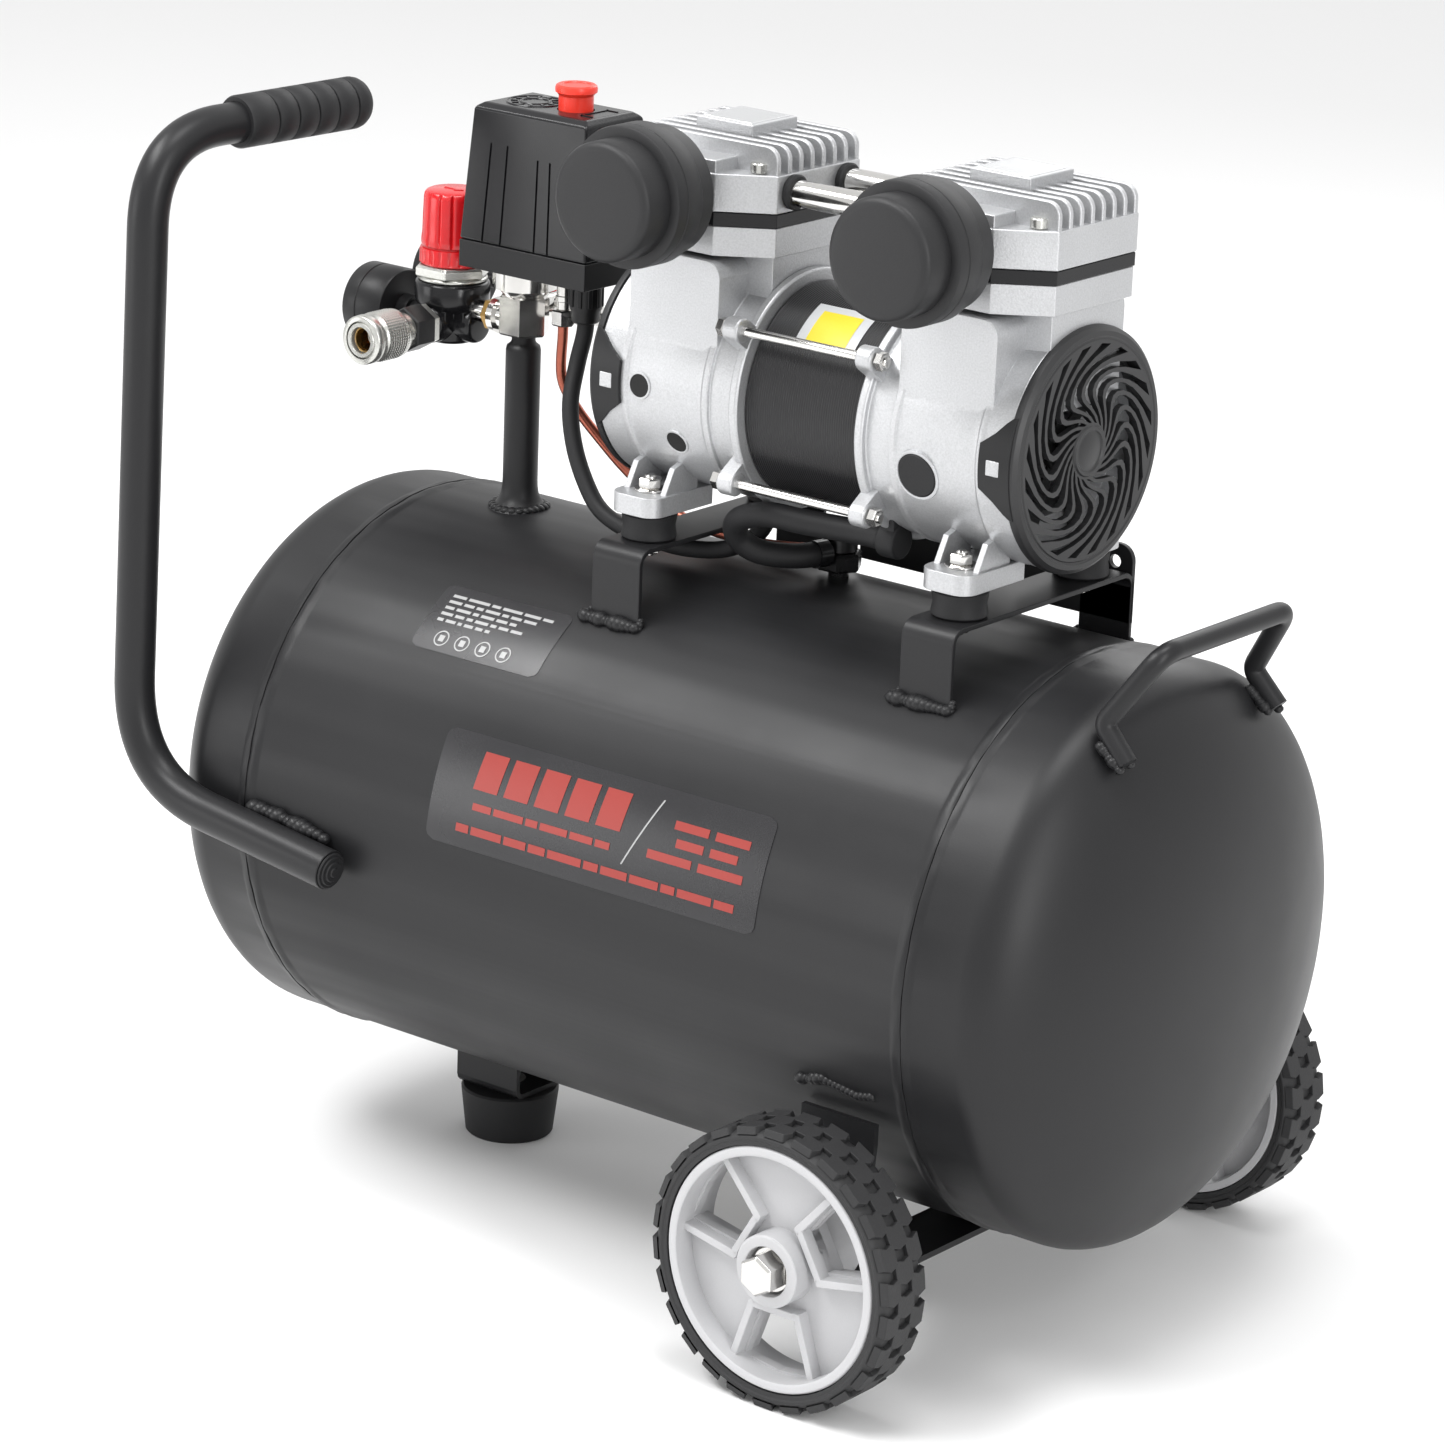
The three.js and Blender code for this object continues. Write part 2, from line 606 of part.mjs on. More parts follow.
// A plate folded up at both ends: its bottom runs under the tank, its ends carry the wheels.
function wheelBracket() {
  const plateTop = tankBottomZ - GAP;
  const section = channelOutline(
    WHEEL_BRACKET_HALF_SPAN, WHEEL_BRACKET_THICKNESS - plateTop, -WHEEL_BRACKET_TOP_Z,
    WHEEL_BRACKET_THICKNESS, 7).map(([y, z]) => [-y, -z]);
  const half = WHEEL_BRACKET_TOP_WIDTH / 2;
  const folded = prismX(section, WHEEL_X - half, WHEEL_X + half);
  const low = WHEEL_BRACKET_WIDTH / 2;
  const bottom = plateTop - WHEEL_BRACKET_THICKNESS - 1;
  const reach = WHEEL_BRACKET_HALF_SPAN + 1;
  const taper = prismY([
    [WHEEL_X - low, bottom], [WHEEL_X + low, bottom], [WHEEL_X + low, WHEEL_RADIUS],
    [WHEEL_X + half, WHEEL_BRACKET_TOP_Z - 10], [WHEEL_X + half, WHEEL_BRACKET_TOP_Z + 1],
    [WHEEL_X - half, WHEEL_BRACKET_TOP_Z + 1], [WHEEL_X - half, WHEEL_BRACKET_TOP_Z - 10],
    [WHEEL_X - low, WHEEL_RADIUS],
  ], -reach, reach);
  const hole = moved(cylinder(WHEEL_BOLT_RADIUS + GAP, -reach, reach, 'y', SMALL),
    WHEEL_X, 0, WHEEL_RADIUS);
  return cut(common(folded, taper), tankEnvelopeAtFloor, hole);
}

add(compressor, 'wheel_bracket', wheelBracket(), tankPaint);

// The front wheel is drawn about its own centre with its outer face towards -Y.
const wheelHalf = TYRE_WIDTH / 2;
const rimHalf = wheelHalf - RIM_INSET;
const hubInner = WHEEL_FACE_Y - wheelHalf - WHEEL_BRACKET_HALF_SPAN - 2 * GAP;

function spokeWindow(angle) {
  const inner = HUB_RADIUS + 6;
  const outer = RIM_RADIUS - RIM_WALL - 4;
  const innerHalf = 10;
  const outerHalf = 20;
  const window = prismY([
    [inner, -innerHalf], [outer, -outerHalf], [outer + 3, 0], [outer, outerHalf], [inner, innerHalf],
  ], -wheelHalf, wheelHalf);
  return window.rotateY(angle);
}

function spokeRib(angle, side) {
  const inner = HUB_RADIUS + 2;
  const outer = RIM_RADIUS - RIM_WALL - 2.5;
  const near = 11;
  const far = 22.5;
  const wall = prismY([
    [inner, side * near], [outer, side * far], [outer, side * (far + SPOKE_RIB)],
    [inner, side * (near + SPOKE_RIB)],
  ], -SPOKE_RIB_DEPTH / 2, SPOKE_RIB_DEPTH / 2);
  return wall.rotateY(angle);
}

function hubRib(angle) {
  const radius = HUB_RADIUS + 2;
  return box([radius, -SPOKE_RIB_DEPTH / 2, -13], [radius + SPOKE_RIB, SPOKE_RIB_DEPTH / 2, 13])
    .rotateY(angle);
}

function rim() {
  const bore = WHEEL_BOLT_RADIUS + RUNNING_GAP;
  let wheel = ring(RIM_RADIUS, RIM_RADIUS - RIM_WALL, -rimHalf, rimHalf, 'y', LARGE);
  wheel = join(wheel, cylinder(RIM_RADIUS - 1, -WEB_THICKNESS / 2, WEB_THICKNESS / 2, 'y', LARGE));
  const angles = [];
  for (let i = 0; i < SPOKE_COUNT; i += 1) angles.push(Math.PI / 2 + (i * 2 * Math.PI) / SPOKE_COUNT);
  wheel = join(wheel, ...angles.flatMap((angle) => [
    spokeRib(angle, -1), spokeRib(angle, 1), hubRib(angle)]));
  wheel = cut(wheel, ...angles.map(spokeWindow));
  wheel = join(wheel, cylinder(HUB_RADIUS, -wheelHalf - 1, hubInner, 'y', MEDIUM));
  const recess = cylinder(
    HUB_RECESS_RADIUS, -wheelHalf - 2, -wheelHalf - 1 + HUB_RECESS_DEPTH, 'y', MEDIUM);
  return cut(wheel, recess, cylinder(bore, -wheelHalf - 2, hubInner + 1, 'y', SMALL));
}

function tyre() {
  const seat = RIM_RADIUS + GAP;
  const shoulder = 5;
  return turned([
    [-wheelHalf, seat], [-wheelHalf, WHEEL_RADIUS - shoulder], [shoulder - wheelHalf, WHEEL_RADIUS],
    [wheelHalf - shoulder, WHEEL_RADIUS], [wheelHalf, WHEEL_RADIUS - shoulder], [wheelHalf, seat],
    [-wheelHalf, seat],
  ], 'y', LARGE);
}

// The bolt passes through the hub and the bracket's end, where a nut holds it.
function axleBolt() {
  const seat = -wheelHalf - 1 + HUB_RECESS_DEPTH - GAP;
  const legInner = wheelCentreY - WHEEL_BRACKET_HALF_SPAN + WHEEL_BRACKET_THICKNESS + GAP;
  const washer = seat - 2;
  return join(
    hexagon(WHEEL_BOLT_FLATS, washer - WHEEL_BOLT_HEAD - 1, washer + 0.5, 'y'),
    cylinder(HUB_RECESS_RADIUS - 1, washer, seat, 'y', MEDIUM),
    cylinder(WHEEL_BOLT_RADIUS, seat - 1, legInner + 10, 'y', SMALL),
    hexagon(WHEEL_BOLT_FLATS, legInner, legInner + 8, 'y'));
}

const wheelCentreY = WHEEL_FACE_Y - wheelHalf;
for (const [wheelName, turn] of [['front', 0], ['rear', Math.PI]]) {
  const wheel = new THREE.Group();
  wheel.position.set(WHEEL_X, turn === 0 ? -wheelCentreY : wheelCentreY, WHEEL_RADIUS);
  wheel.rotation.z = turn;
  compressor.add(wheel);
  add(wheel, `wheel_rim_${wheelName}`, rim(), whitePlastic);
  add(wheel, `tyre_${wheelName}`, fromSolid(solid(tyre())), rubber);
  add(wheel, `axle_bolt_${wheelName}`, axleBolt(), steel);
}

// ---------------------------------------------------------------- handles

// One tube: it lies along the tank, rises past the end and turns inwards over the tank.
const handleCorners = [
  [-134, HANDLE_Y, 180], [-267, HANDLE_Y, 197], [-256, HANDLE_Y, 519], [-250, -9, 519]];
const gripDirection = new THREE.Vector3(...handleCorners[3])
  .sub(new THREE.Vector3(...handleCorners[2])).normalize();
const handleTubeEnd = new THREE.Vector3(...handleCorners[3])
  .addScaledVector(gripDirection, -GRIP_END_WALL - GAP);
const handlePath = bentPath(
  [...handleCorners.slice(0, 3), handleTubeEnd.toArray()], [HANDLE_LOW_BEND, HANDLE_TOP_BEND]);

function handleGrip() {
  const bore = HANDLE_RADIUS + GAP;
  const sleeve = turned([
    [0, 0], [0, GRIP_RADIUS - 3], [3, GRIP_RADIUS], [GRIP_LENGTH - 3, GRIP_RADIUS],
    [GRIP_LENGTH, GRIP_RADIUS - 1], [GRIP_LENGTH, bore], [GRIP_END_WALL, bore], [GRIP_END_WALL, 0],
  ], 'y', MEDIUM);
  const back = gripDirection.clone().negate();
  const aim = new THREE.Quaternion().setFromUnitVectors(new THREE.Vector3(0, 1, 0), back);
  return sleeve.applyQuaternion(aim);
}

add(compressor, 'carry_handle',
  fromSolid(solid(rod(handlePath, HANDLE_RADIUS, 10, 28, HANDLE_RADIUS - HANDLE_WALL))), tankPaint);
add(compressor, 'handle_grip', fromSolid(solid(handleGrip())), rubber, handleCorners[3]);

const liftCorners = [
  [260, -61, 303.5], [245.5, -60, 319], [268, -50, 354],
  [268, 50, 354], [245.5, 60, 319], [260, 61, 303.5]];
const liftPath = bentPath(liftCorners, [6, LIFT_BEND, LIFT_BEND, 6]);
add(compressor, 'lift_handle', fromSolid(solid(rod(liftPath, LIFT_RADIUS, 8, 26))), tankPaint);

// ---------------------------------------------------------------- motor

const sheetStack = ring(STATOR_RADIUS, STATOR_BORE, GAP - RING_START, RING_START - GAP, 'x', LARGE);
const stator = join(sheetStack, ring(STATOR_SPIGOT_RADIUS, STATOR_BORE,
  -RING_START - STATOR_SPIGOT, RING_START + STATOR_SPIGOT, 'x', LARGE));
add(pump, 'stator', stator, lamination);

function fanBlades(side) {
  const from = OUTER_WALL[1] + 2;
  const to = CASE_END - 9;
  const low = Math.min(side * from, side * to);
  const high = Math.max(side * from, side * to);
  const blades = [cylinder(SHAFT_RADIUS + 6, low, high, 'x', SMALL)];
  for (let i = 0; i < FAN_BLADES; i += 1) {
    blades.push(box([low, -1, SHAFT_RADIUS + 3], [high, 1, FAN_RADIUS])
      .rotateX((i * 2 * Math.PI) / FAN_BLADES));
  }
  return blades;
}

// The rotor, its shaft, an eccentric at each pump and a fan at each end turn as one.
function rotor() {
  const shaftEnd = CASE_END - 9;
  const pieces = [cylinder(SHAFT_RADIUS, -shaftEnd, shaftEnd, 'x', SMALL)];
  for (const [, side] of SIDES) {
    const middle = side * CYLINDER_OFFSET;
    pieces.push(moved(cylinder(CRANK_RADIUS, middle - 5, middle + 5, 'x', MEDIUM), 0, 0, CRANK_THROW));
    pieces.push(...fanBlades(side));
  }
  return join(cylinder(ROTOR_RADIUS, -RING_START, RING_START, 'x', LARGE), ...pieces);
}

add(pump, 'rotor_shaft', rotor(), steel);

function tieRod() {
  const lugEnd = RING_START + LUG_LENGTH;
  return join(
    cylinder(ROD_RADIUS, -lugEnd - 6, lugEnd + 6, 'x', SMALL),
    hexagon(8, -lugEnd - 4 - GAP, -lugEnd - GAP, 'x'),
    hexagon(8, lugEnd + GAP, lugEnd + 4 + GAP, 'x'));
}

const RODS = [['top_front', -1, 1], ['bottom_front', -1, -1], ['top_rear', 1, 1], ['bottom_rear', 1, -1]];
for (const [rodName, y, z] of RODS) {
  add(pump, `tie_rod_${rodName}`, tieRod(), steel, [0, y * ROD_Y, z * ROD_Z]);
}

// ---------------------------------------------------------------- pump castings

// Everything on a pump is drawn for the right side and turned half round for the left.
function handed(geometry, side, mirrored = false) {
  if (side > 0) return geometry;
  if (!mirrored) return geometry.rotateZ(Math.PI);
  const flipped = geometry.clone().scale(-1, 1, 1);
  return fromSolid(solid(flipped));
}

// The plan of the cylinder head: narrow ends and a wider middle.
function headPlan(inset) {
  const length = HEAD_HALF_LENGTH - inset;
  const end = HEAD_END_HALF_WIDTH - inset;
  const middle = HEAD_MID_HALF_WIDTH - inset;
  const corners = [
    [length, end], [HEAD_MID_HALF_LENGTH, middle], [-HEAD_MID_HALF_LENGTH, middle], [-length, end]];
  const back = corners.slice().reverse().map(([x, y]) => [x, -y]);
  return [...corners, ...back].map(([x, y]) => [x + CYLINDER_OFFSET, y]);
}

// A latch tab of the fan cover, or with a clearance the pocket it lies in.
function coverTab(end, clearance) {
  const tip = TAB_START - clearance;
  const tipHalf = TAB_TIP_HALF + clearance;
  const rootHalf = TAB_ROOT_HALF + clearance;
  const inner = COVER_RADIUS - TAB_THICKNESS - clearance;
  const band = ring(COVER_RADIUS + 3 * clearance, inner, tip, CASE_END + 1, 'x', LARGE);
  const reach = end * (COVER_RADIUS + 4);
  const wedge = prismY([
    [tip, -tipHalf], [tip, tipHalf], [CASE_END - 4, rootHalf], [CASE_END + 1, rootHalf],
    [CASE_END + 1, -rootHalf], [CASE_END - 4, -rootHalf],
  ], Math.min(0, reach), Math.max(0, reach));
  return common(band, wedge);
}

function crankcase(side) {
  const ringEnd = RING_START + RING_WIDTH;
  let body = turned([
    [RING_START, 0], [RING_START, RING_RADIUS], [ringEnd, RING_RADIUS], [ringEnd, CASE_RADIUS - 1.5],
    [53, CASE_RADIUS - 1.5], [53, CASE_RADIUS], [103, CASE_RADIUS], [103, CASE_RADIUS - 1],
    [CASE_END, COVER_RADIUS - 0.7], [CASE_END, 0],
  ], 'x', LARGE);
  const middle = CYLINDER_OFFSET;
  const endFace = HEAD_HALF_LENGTH - 3.5;
  const column = box([middle - endFace, -HEAD_END_HALF_WIDTH + 3, 0],
    [middle + endFace, HEAD_END_HALF_WIDTH - 3, STEP_Z + 1]);
  const shield = box([middle - PANEL_HALF_LENGTH, -PANEL_Y, 0],
    [middle + PANEL_HALF_LENGTH, PANEL_Y, STEP_Z - 2]);
  const flange = prism(headPlan(0.8), STEP_Z, CASE_TOP_Z);
  body = join(body, column, shield, flange);

  // lugs for the tie rods
  for (const [, y, z] of RODS) {
    const lug = cylinder(LUG_RADIUS, RING_START, RING_START + LUG_LENGTH, 'x', SMALL);
    const arm = box([RING_START, 0, -LUG_RADIUS], [RING_START + LUG_LENGTH, 16, LUG_RADIUS])
      .rotateX(Math.atan2(-z * ROD_Z, -y * ROD_Y));
    body = join(body, moved(lug, 0, y * ROD_Y, z * ROD_Z), moved(arm, 0, y * ROD_Y, z * ROD_Z));
  }

  // feet, each with two ribs up to the casting
  const footBottom = BRACKET_TOP_Z + MOUNT_HEIGHT - PUMP_AXIS_Z;
  const footTop = footBottom + CASE_FOOT_THICKNESS;
  const halfFoot = CASE_FOOT_WIDTH / 2;
  for (const end of [-1, 1]) {
    const near = end * CASE_FOOT_START_Y;
    const far = end * CASE_FOOT_END_Y;
    const corner = far - end * 6;
    const plate = prism([
      [MOUNT_OFFSET_X - halfFoot, near], [MOUNT_OFFSET_X + halfFoot, near],
      [MOUNT_OFFSET_X + halfFoot, corner], [MOUNT_OFFSET_X + halfFoot - 6, far],
      [MOUNT_OFFSET_X - halfFoot + 6, far], [MOUNT_OFFSET_X - halfFoot, corner],
    ], footBottom, footTop);
    body = join(body, plate);
    for (const across of [-1, 1]) {
      const ribX = MOUNT_OFFSET_X + across * (halfFoot - 3);
      const rib = prismX([
        [end * 30, footTop - 1], [end * 30, footTop + 16], [end * 46, footTop + 12],
        [end * 55, footTop - 1]], ribX - 1.5, ribX + 1.5);
      body = join(body, rib);
    }
  }

  // chambers, bores and holes
  const [innerFrom, innerTo] = INNER_WALL;
  const [outerFrom, outerTo] = OUTER_WALL;
  const studs = [-1, 1].map((end) => moved(
    cylinder(STUD_RADIUS + GAP, footBottom - 1, footTop + 1, 'z', SMALL),
    MOUNT_OFFSET_X, end * MOUNT_OFFSET_Y, 0));
  const rods = RODS.map(([, y, z]) => moved(
    cylinder(ROD_RADIUS + GAP, RING_START - 1, RING_START + LUG_LENGTH + 1, 'x', SMALL),
    0, y * ROD_Y, z * ROD_Z));
  const transfer = [-1, 1].map((end) => end * TRANSFER_Y);
  body = cut(body,
    cylinder(STATOR_SPIGOT_RADIUS + GAP, RING_START - 1, innerFrom, 'x', LARGE),
    cylinder(CRANK_CHAMBER_RADIUS, innerTo, outerFrom, 'x', LARGE),
    cylinder(STATOR_SPIGOT_RADIUS + GAP, outerTo, CASE_END + 1, 'x', LARGE),
    cylinder(SHAFT_RADIUS + RUNNING_GAP, innerFrom - 1, outerTo + 1, 'x', MEDIUM),
    moved(cylinder(CYLINDER_BORE, 20, CASE_TOP_Z + 1, 'z', LARGE), middle, 0, 0),
    ...studs, ...rods,
    coverTab(-1, GAP), coverTab(1, GAP),
    cylinder(COVER_RADIUS + GAP, CASE_END, CASE_END + 10, 'x', LARGE));

  if (side > 0) {
    const plugSeat = moved(cylinder(13, -CASE_RADIUS - 2, -CASE_RADIUS + 7, 'y', MEDIUM), 67, 0, -12);
    const elbow = moved(cylinder(HOSE_RADIUS + 1.5, RING_START, RING_START + 12, 'x', SMALL),
      0, HOSE_PORT_Y, HOSE_PORT_Z);
    return join(cut(body, plugSeat), elbow);
  }
  const vents = [[94, 0], [75, -24.5]].map(([x, z]) => moved(
    cylinder(5.5, -CASE_RADIUS - 2, -CASE_RADIUS + 14, 'y', SMALL), x, 0, z));
  return cut(handed(body, side, true), ...vents.map((vent) => vent.scale(-1, 1, 1)));
}

// One curved slot between two ribs of the fan grille.
function grilleSlot(index) {
  const pitch = (2 * Math.PI) / GRILLE_RIBS;
  const edge = (share) => {
    const points = [];
    const steps = 2;
    for (let i = 0; i <= steps; i += 1) {
      const radius = GRILLE_INNER + ((GRILLE_OUTER - GRILLE_INNER) * i) / steps;
      const sweep = 0.55 * Math.sin((Math.PI * 1.6 * i) / steps);
      const angle = (index + share) * pitch + sweep;
      points.push([radius * Math.cos(angle), radius * Math.sin(angle)]);
    }
    return points;
  };
  return [...edge(0), ...edge(0.5).reverse()];
}

function fanCover(side) {
  const face = CASE_END + GAP + COVER_THICKNESS;
  const back = CASE_END + GAP;
  const spigot = STATOR_SPIGOT_RADIUS;
  const dish = turned([
    [face, 0], [face, COVER_FACE_RADIUS], [face - 2, COVER_RADIUS], [back, COVER_RADIUS],
    [back, spigot], [back - 6, spigot], [back - 6, spigot - 2], [face - 2.5, spigot - 2],
    [face - 2.5, 0],
  ], 'x', LARGE);
  const window = (end) => moved(box([-4.5, -6, -4.5], [4.5, 6, 4.5]),
    TAB_START + 8, end * COVER_RADIUS, 0);
  const tabs = [-1, 1].map((end) => cut(
    common(coverTab(end, 0), box([0, -100, -100], [face - 2, 100, 100])), window(end)));
  let cover = join(dish, ...tabs);
  const slots = [];
  for (let i = 0; i < GRILLE_RIBS; i += 1) slots.push(prismX(grilleSlot(i), face - 4, face + 1));
  cover = cut(cover, ...slots);
  return handed(cover, side);
}

function headGasket(side) {
  const bore = moved(
    cylinder(CYLINDER_BORE, CASE_TOP_Z, CASE_TOP_Z + 10, 'z', LARGE), CYLINDER_OFFSET, 0, 0);
  const sheet = prism(headPlan(0.4), CASE_TOP_Z + GAP, CASE_TOP_Z + GASKET_THICKNESS);
  return handed(cut(sheet, bore), side);
}

const headBottom = CASE_TOP_Z + GASKET_THICKNESS + GAP;

// A fin runs along the head and is cut away at the square boss in the middle.
function headFin(index) {
  const span = 2 * (HEAD_END_HALF_WIDTH - FIN_THICKNESS / 2);
  const y = -span / 2 + (span * index) / (FIN_COUNT - 1);
  const top = headBottom + FIN_TOP;
  const half = HEAD_HALF_LENGTH;
  const round = 6;
  const fin = prismY([
    [-half, headBottom], [half, headBottom], [half, top - round], [half - round / 3, top - round / 3],
    [half - round, top], [round - half, top], [round / 3 - half, top - round / 3],
    [-half, top - round],
  ], y - FIN_THICKNESS / 2, y + FIN_THICKNESS / 2);
  return moved(fin, CYLINDER_OFFSET, 0, 0);
}

function cylinderHead(side) {
  const pieces = [];
  for (let i = 0; i < FIN_COUNT; i += 1) pieces.push(headFin(i));
  const half = PAD_SIZE / 2;
  pieces.push(box([CYLINDER_OFFSET - half, -half, headBottom],
    [CYLINDER_OFFSET + half, half, headBottom + PAD_TOP]));
  const bulge = HEAD_MID_HALF_WIDTH - 1;
  pieces.push(box([CYLINDER_OFFSET - HEAD_MID_HALF_LENGTH, -bulge, headBottom + 1],
    [CYLINDER_OFFSET + HEAD_MID_HALF_LENGTH, bulge, headBottom + HEAD_BLOCK + 6]));
  const head = join(prism(headPlan(0), headBottom, headBottom + HEAD_BLOCK), ...pieces);
  const inner = CYLINDER_OFFSET - HEAD_HALF_LENGTH;
  const ports = [-1, 1].map((end) => moved(
    cylinder(TRANSFER_RADIUS + GAP, inner - 1, inner + TRANSFER_ENTRY + 1, 'x', SMALL),
    0, end * TRANSFER_Y, PORT_Z));
  const intakeY = -HEAD_MID_HALF_WIDTH * side;
  const intake = moved(cylinder(FILTER_NECK_RADIUS + GAP,
    Math.min(intakeY - side, intakeY + 8 * side), Math.max(intakeY - side, intakeY + 8 * side),
    'y', MEDIUM), CYLINDER_OFFSET, 0, PORT_Z);
  return handed(cut(head, ...ports, intake), side);
}

// A piston with its rod; the big end is an open slot that clears the eccentric.
function piston() {
  const mid = CASE_TOP_Z - CRANK_THROW - 1;
  const eye = CRANK_RADIUS + CRANK_THROW + 1;
  const disc = cylinder(CYLINDER_BORE - GAP, mid - 6, mid, 'z', LARGE);
  const slot = (radius, half) => join(
    moved(cylinder(radius, -half, half, 'x', MEDIUM), 0, 0, CRANK_THROW),
    moved(cylinder(radius, -half, half, 'x', MEDIUM), 0, 0, -CRANK_THROW),
    box([-half, -radius, -CRANK_THROW], [half, radius, CRANK_THROW]));
  const rodBar = box([-3.5, -6, eye], [3.5, 6, mid - 3]);
  return cut(join(disc, slot(eye + 3, 4), rodBar), slot(eye, 6));
}

function airFilter() {
  const front = -FILTER_END_Y;
  const capBack = front + FILTER_CAP_DEPTH;
  const bodyBack = capBack + FILTER_BODY_DEPTH;
  return turned([
    [front, 0], [front, FILTER_CAP_RADIUS - 2], [front + 2, FILTER_CAP_RADIUS],
    [capBack, FILTER_CAP_RADIUS], [capBack, FILTER_BODY_RADIUS - 1.5],
    [capBack + 1.5, FILTER_BODY_RADIUS], [bodyBack, FILTER_BODY_RADIUS],
    [bodyBack, FILTER_BODY_RADIUS - 2], [bodyBack + 12, FILTER_BODY_RADIUS - 3],
    [bodyBack + 12, FILTER_NECK_RADIUS], [6 - HEAD_MID_HALF_WIDTH, FILTER_NECK_RADIUS],
    [6 - HEAD_MID_HALF_WIDTH, 0],
  ], 'y', LARGE);
}

for (const [name, side] of SIDES) {
  add(pump, `crankcase_${name}`, crankcase(side), castAluminium);
  add(pump, `fan_cover_${name}`, fanCover(side), blackPlastic);
  add(pump, `head_gasket_${name}`, headGasket(side), rubber);
  add(pump, `cylinder_head_${name}`, cylinderHead(side), castAluminium);
  add(pump, `piston_${name}`, piston(), steel, [side * CYLINDER_OFFSET, 0, 0]);
  add(pump, `air_filter_${name}`, fromSolid(solid(airFilter())), blackPlastic,
    [side * CYLINDER_OFFSET, 0, PORT_Z]);
}

const transferEnd = CYLINDER_OFFSET - HEAD_HALF_LENGTH + TRANSFER_ENTRY;
for (const [name, end] of [['front', -1], ['rear', 1]]) {
  add(pump, `transfer_pipe_${name}`,
    fromSolid(solid(ring(TRANSFER_RADIUS, TRANSFER_RADIUS - 1.2, -transferEnd, transferEnd, 'x', SMALL))),
    steel, [0, end * TRANSFER_Y, PORT_Z]);
}

// ---------------------------------------------------------------- manifold and safety valve

const manifoldInletX = REGULATOR_X + REGULATOR_RADIUS - 5;

function manifold() {
  const column = turned([
    [MANIFOLD_BOTTOM_Z, 0], [MANIFOLD_BOTTOM_Z, MANIFOLD_RADIUS - 1],
    [MANIFOLD_BOTTOM_Z + 1, MANIFOLD_RADIUS], [438, MANIFOLD_RADIUS], [441, 16],
    [SWITCH_BOTTOM_Z - GAP, 16], [SWITCH_BOTTOM_Z - GAP, 0],
  ], 'z', SMALL);
  const inlet = turned([
    [manifoldInletX, 0], [manifoldInletX, 5.5], [RISER_X - 17, 5.5], [RISER_X - 17, 9],
    [RISER_X - 13, 9], [RISER_X - 13, 7], [RISER_X, 7], [RISER_X, 0],
  ], 'x', SMALL);
  const rearArm = moved(cylinder(6, 0, TANK_GAUGE_Y + 6, 'y', SMALL), RISER_X, 0, TANK_GAUGE_Z);
  const gaugeArm = moved(
    cylinder(5.5, RISER_X - 16, RISER_X, 'x', SMALL), 0, TANK_GAUGE_Y, TANK_GAUGE_Z);
  const valveArm = turned([
    [RISER_X, 0], [RISER_X, 5], [RISER_X + 18, 5], [RISER_X + 18, 6.5], [RISER_X + 26, 6.5],
    [RISER_X + 26, 5], [SAFETY_VALVE_END_X - 6, 5], [SAFETY_VALVE_END_X - 6, 0],
  ], 'x', SMALL);
  const body = join(moved(column, RISER_X, 0, 0), moved(inlet, 0, 0, INLET_Z), rearArm, gaugeArm,
    moved(valveArm, 0, SAFETY_VALVE_Y, TANK_GAUGE_Z));
  return cut(body,
    moved(cylinder(RISER_NECK_RADIUS + GAP, MANIFOLD_BOTTOM_Z - 1, RISER_TOP_Z + RISER_THREAD + 1,
      'z', MEDIUM), RISER_X, 0, 0),
    moved(cylinder(2.3, SAFETY_VALVE_END_X - 14, SAFETY_VALVE_END_X, 'x', SMALL),
      0, SAFETY_VALVE_Y, TANK_GAUGE_Z),
    moved(cylinder(GAUGE_STEM_RADIUS - 1.2, RISER_X - 17, RISER_X - 8, 'x', SMALL),
      0, TANK_GAUGE_Y, TANK_GAUGE_Z));
}

// The pull ring of the safety valve with its spindle.
function safetyRing() {
  const loop = new THREE.TorusGeometry(6, 1.1, 6, 14).rotateX(Math.PI / 2);
  const spindle = cylinder(1.7, -16, 0.5, 'x', SMALL);
  return join(moved(loop, 6, 0, 0), spindle);
}

add(compressor, 'manifold', manifold(), steel);
add(compressor, 'safety_valve_ring', safetyRing(), steel,
  [SAFETY_VALVE_END_X + 2, SAFETY_VALVE_Y, TANK_GAUGE_Z]);

// ---------------------------------------------------------------- pressure switch

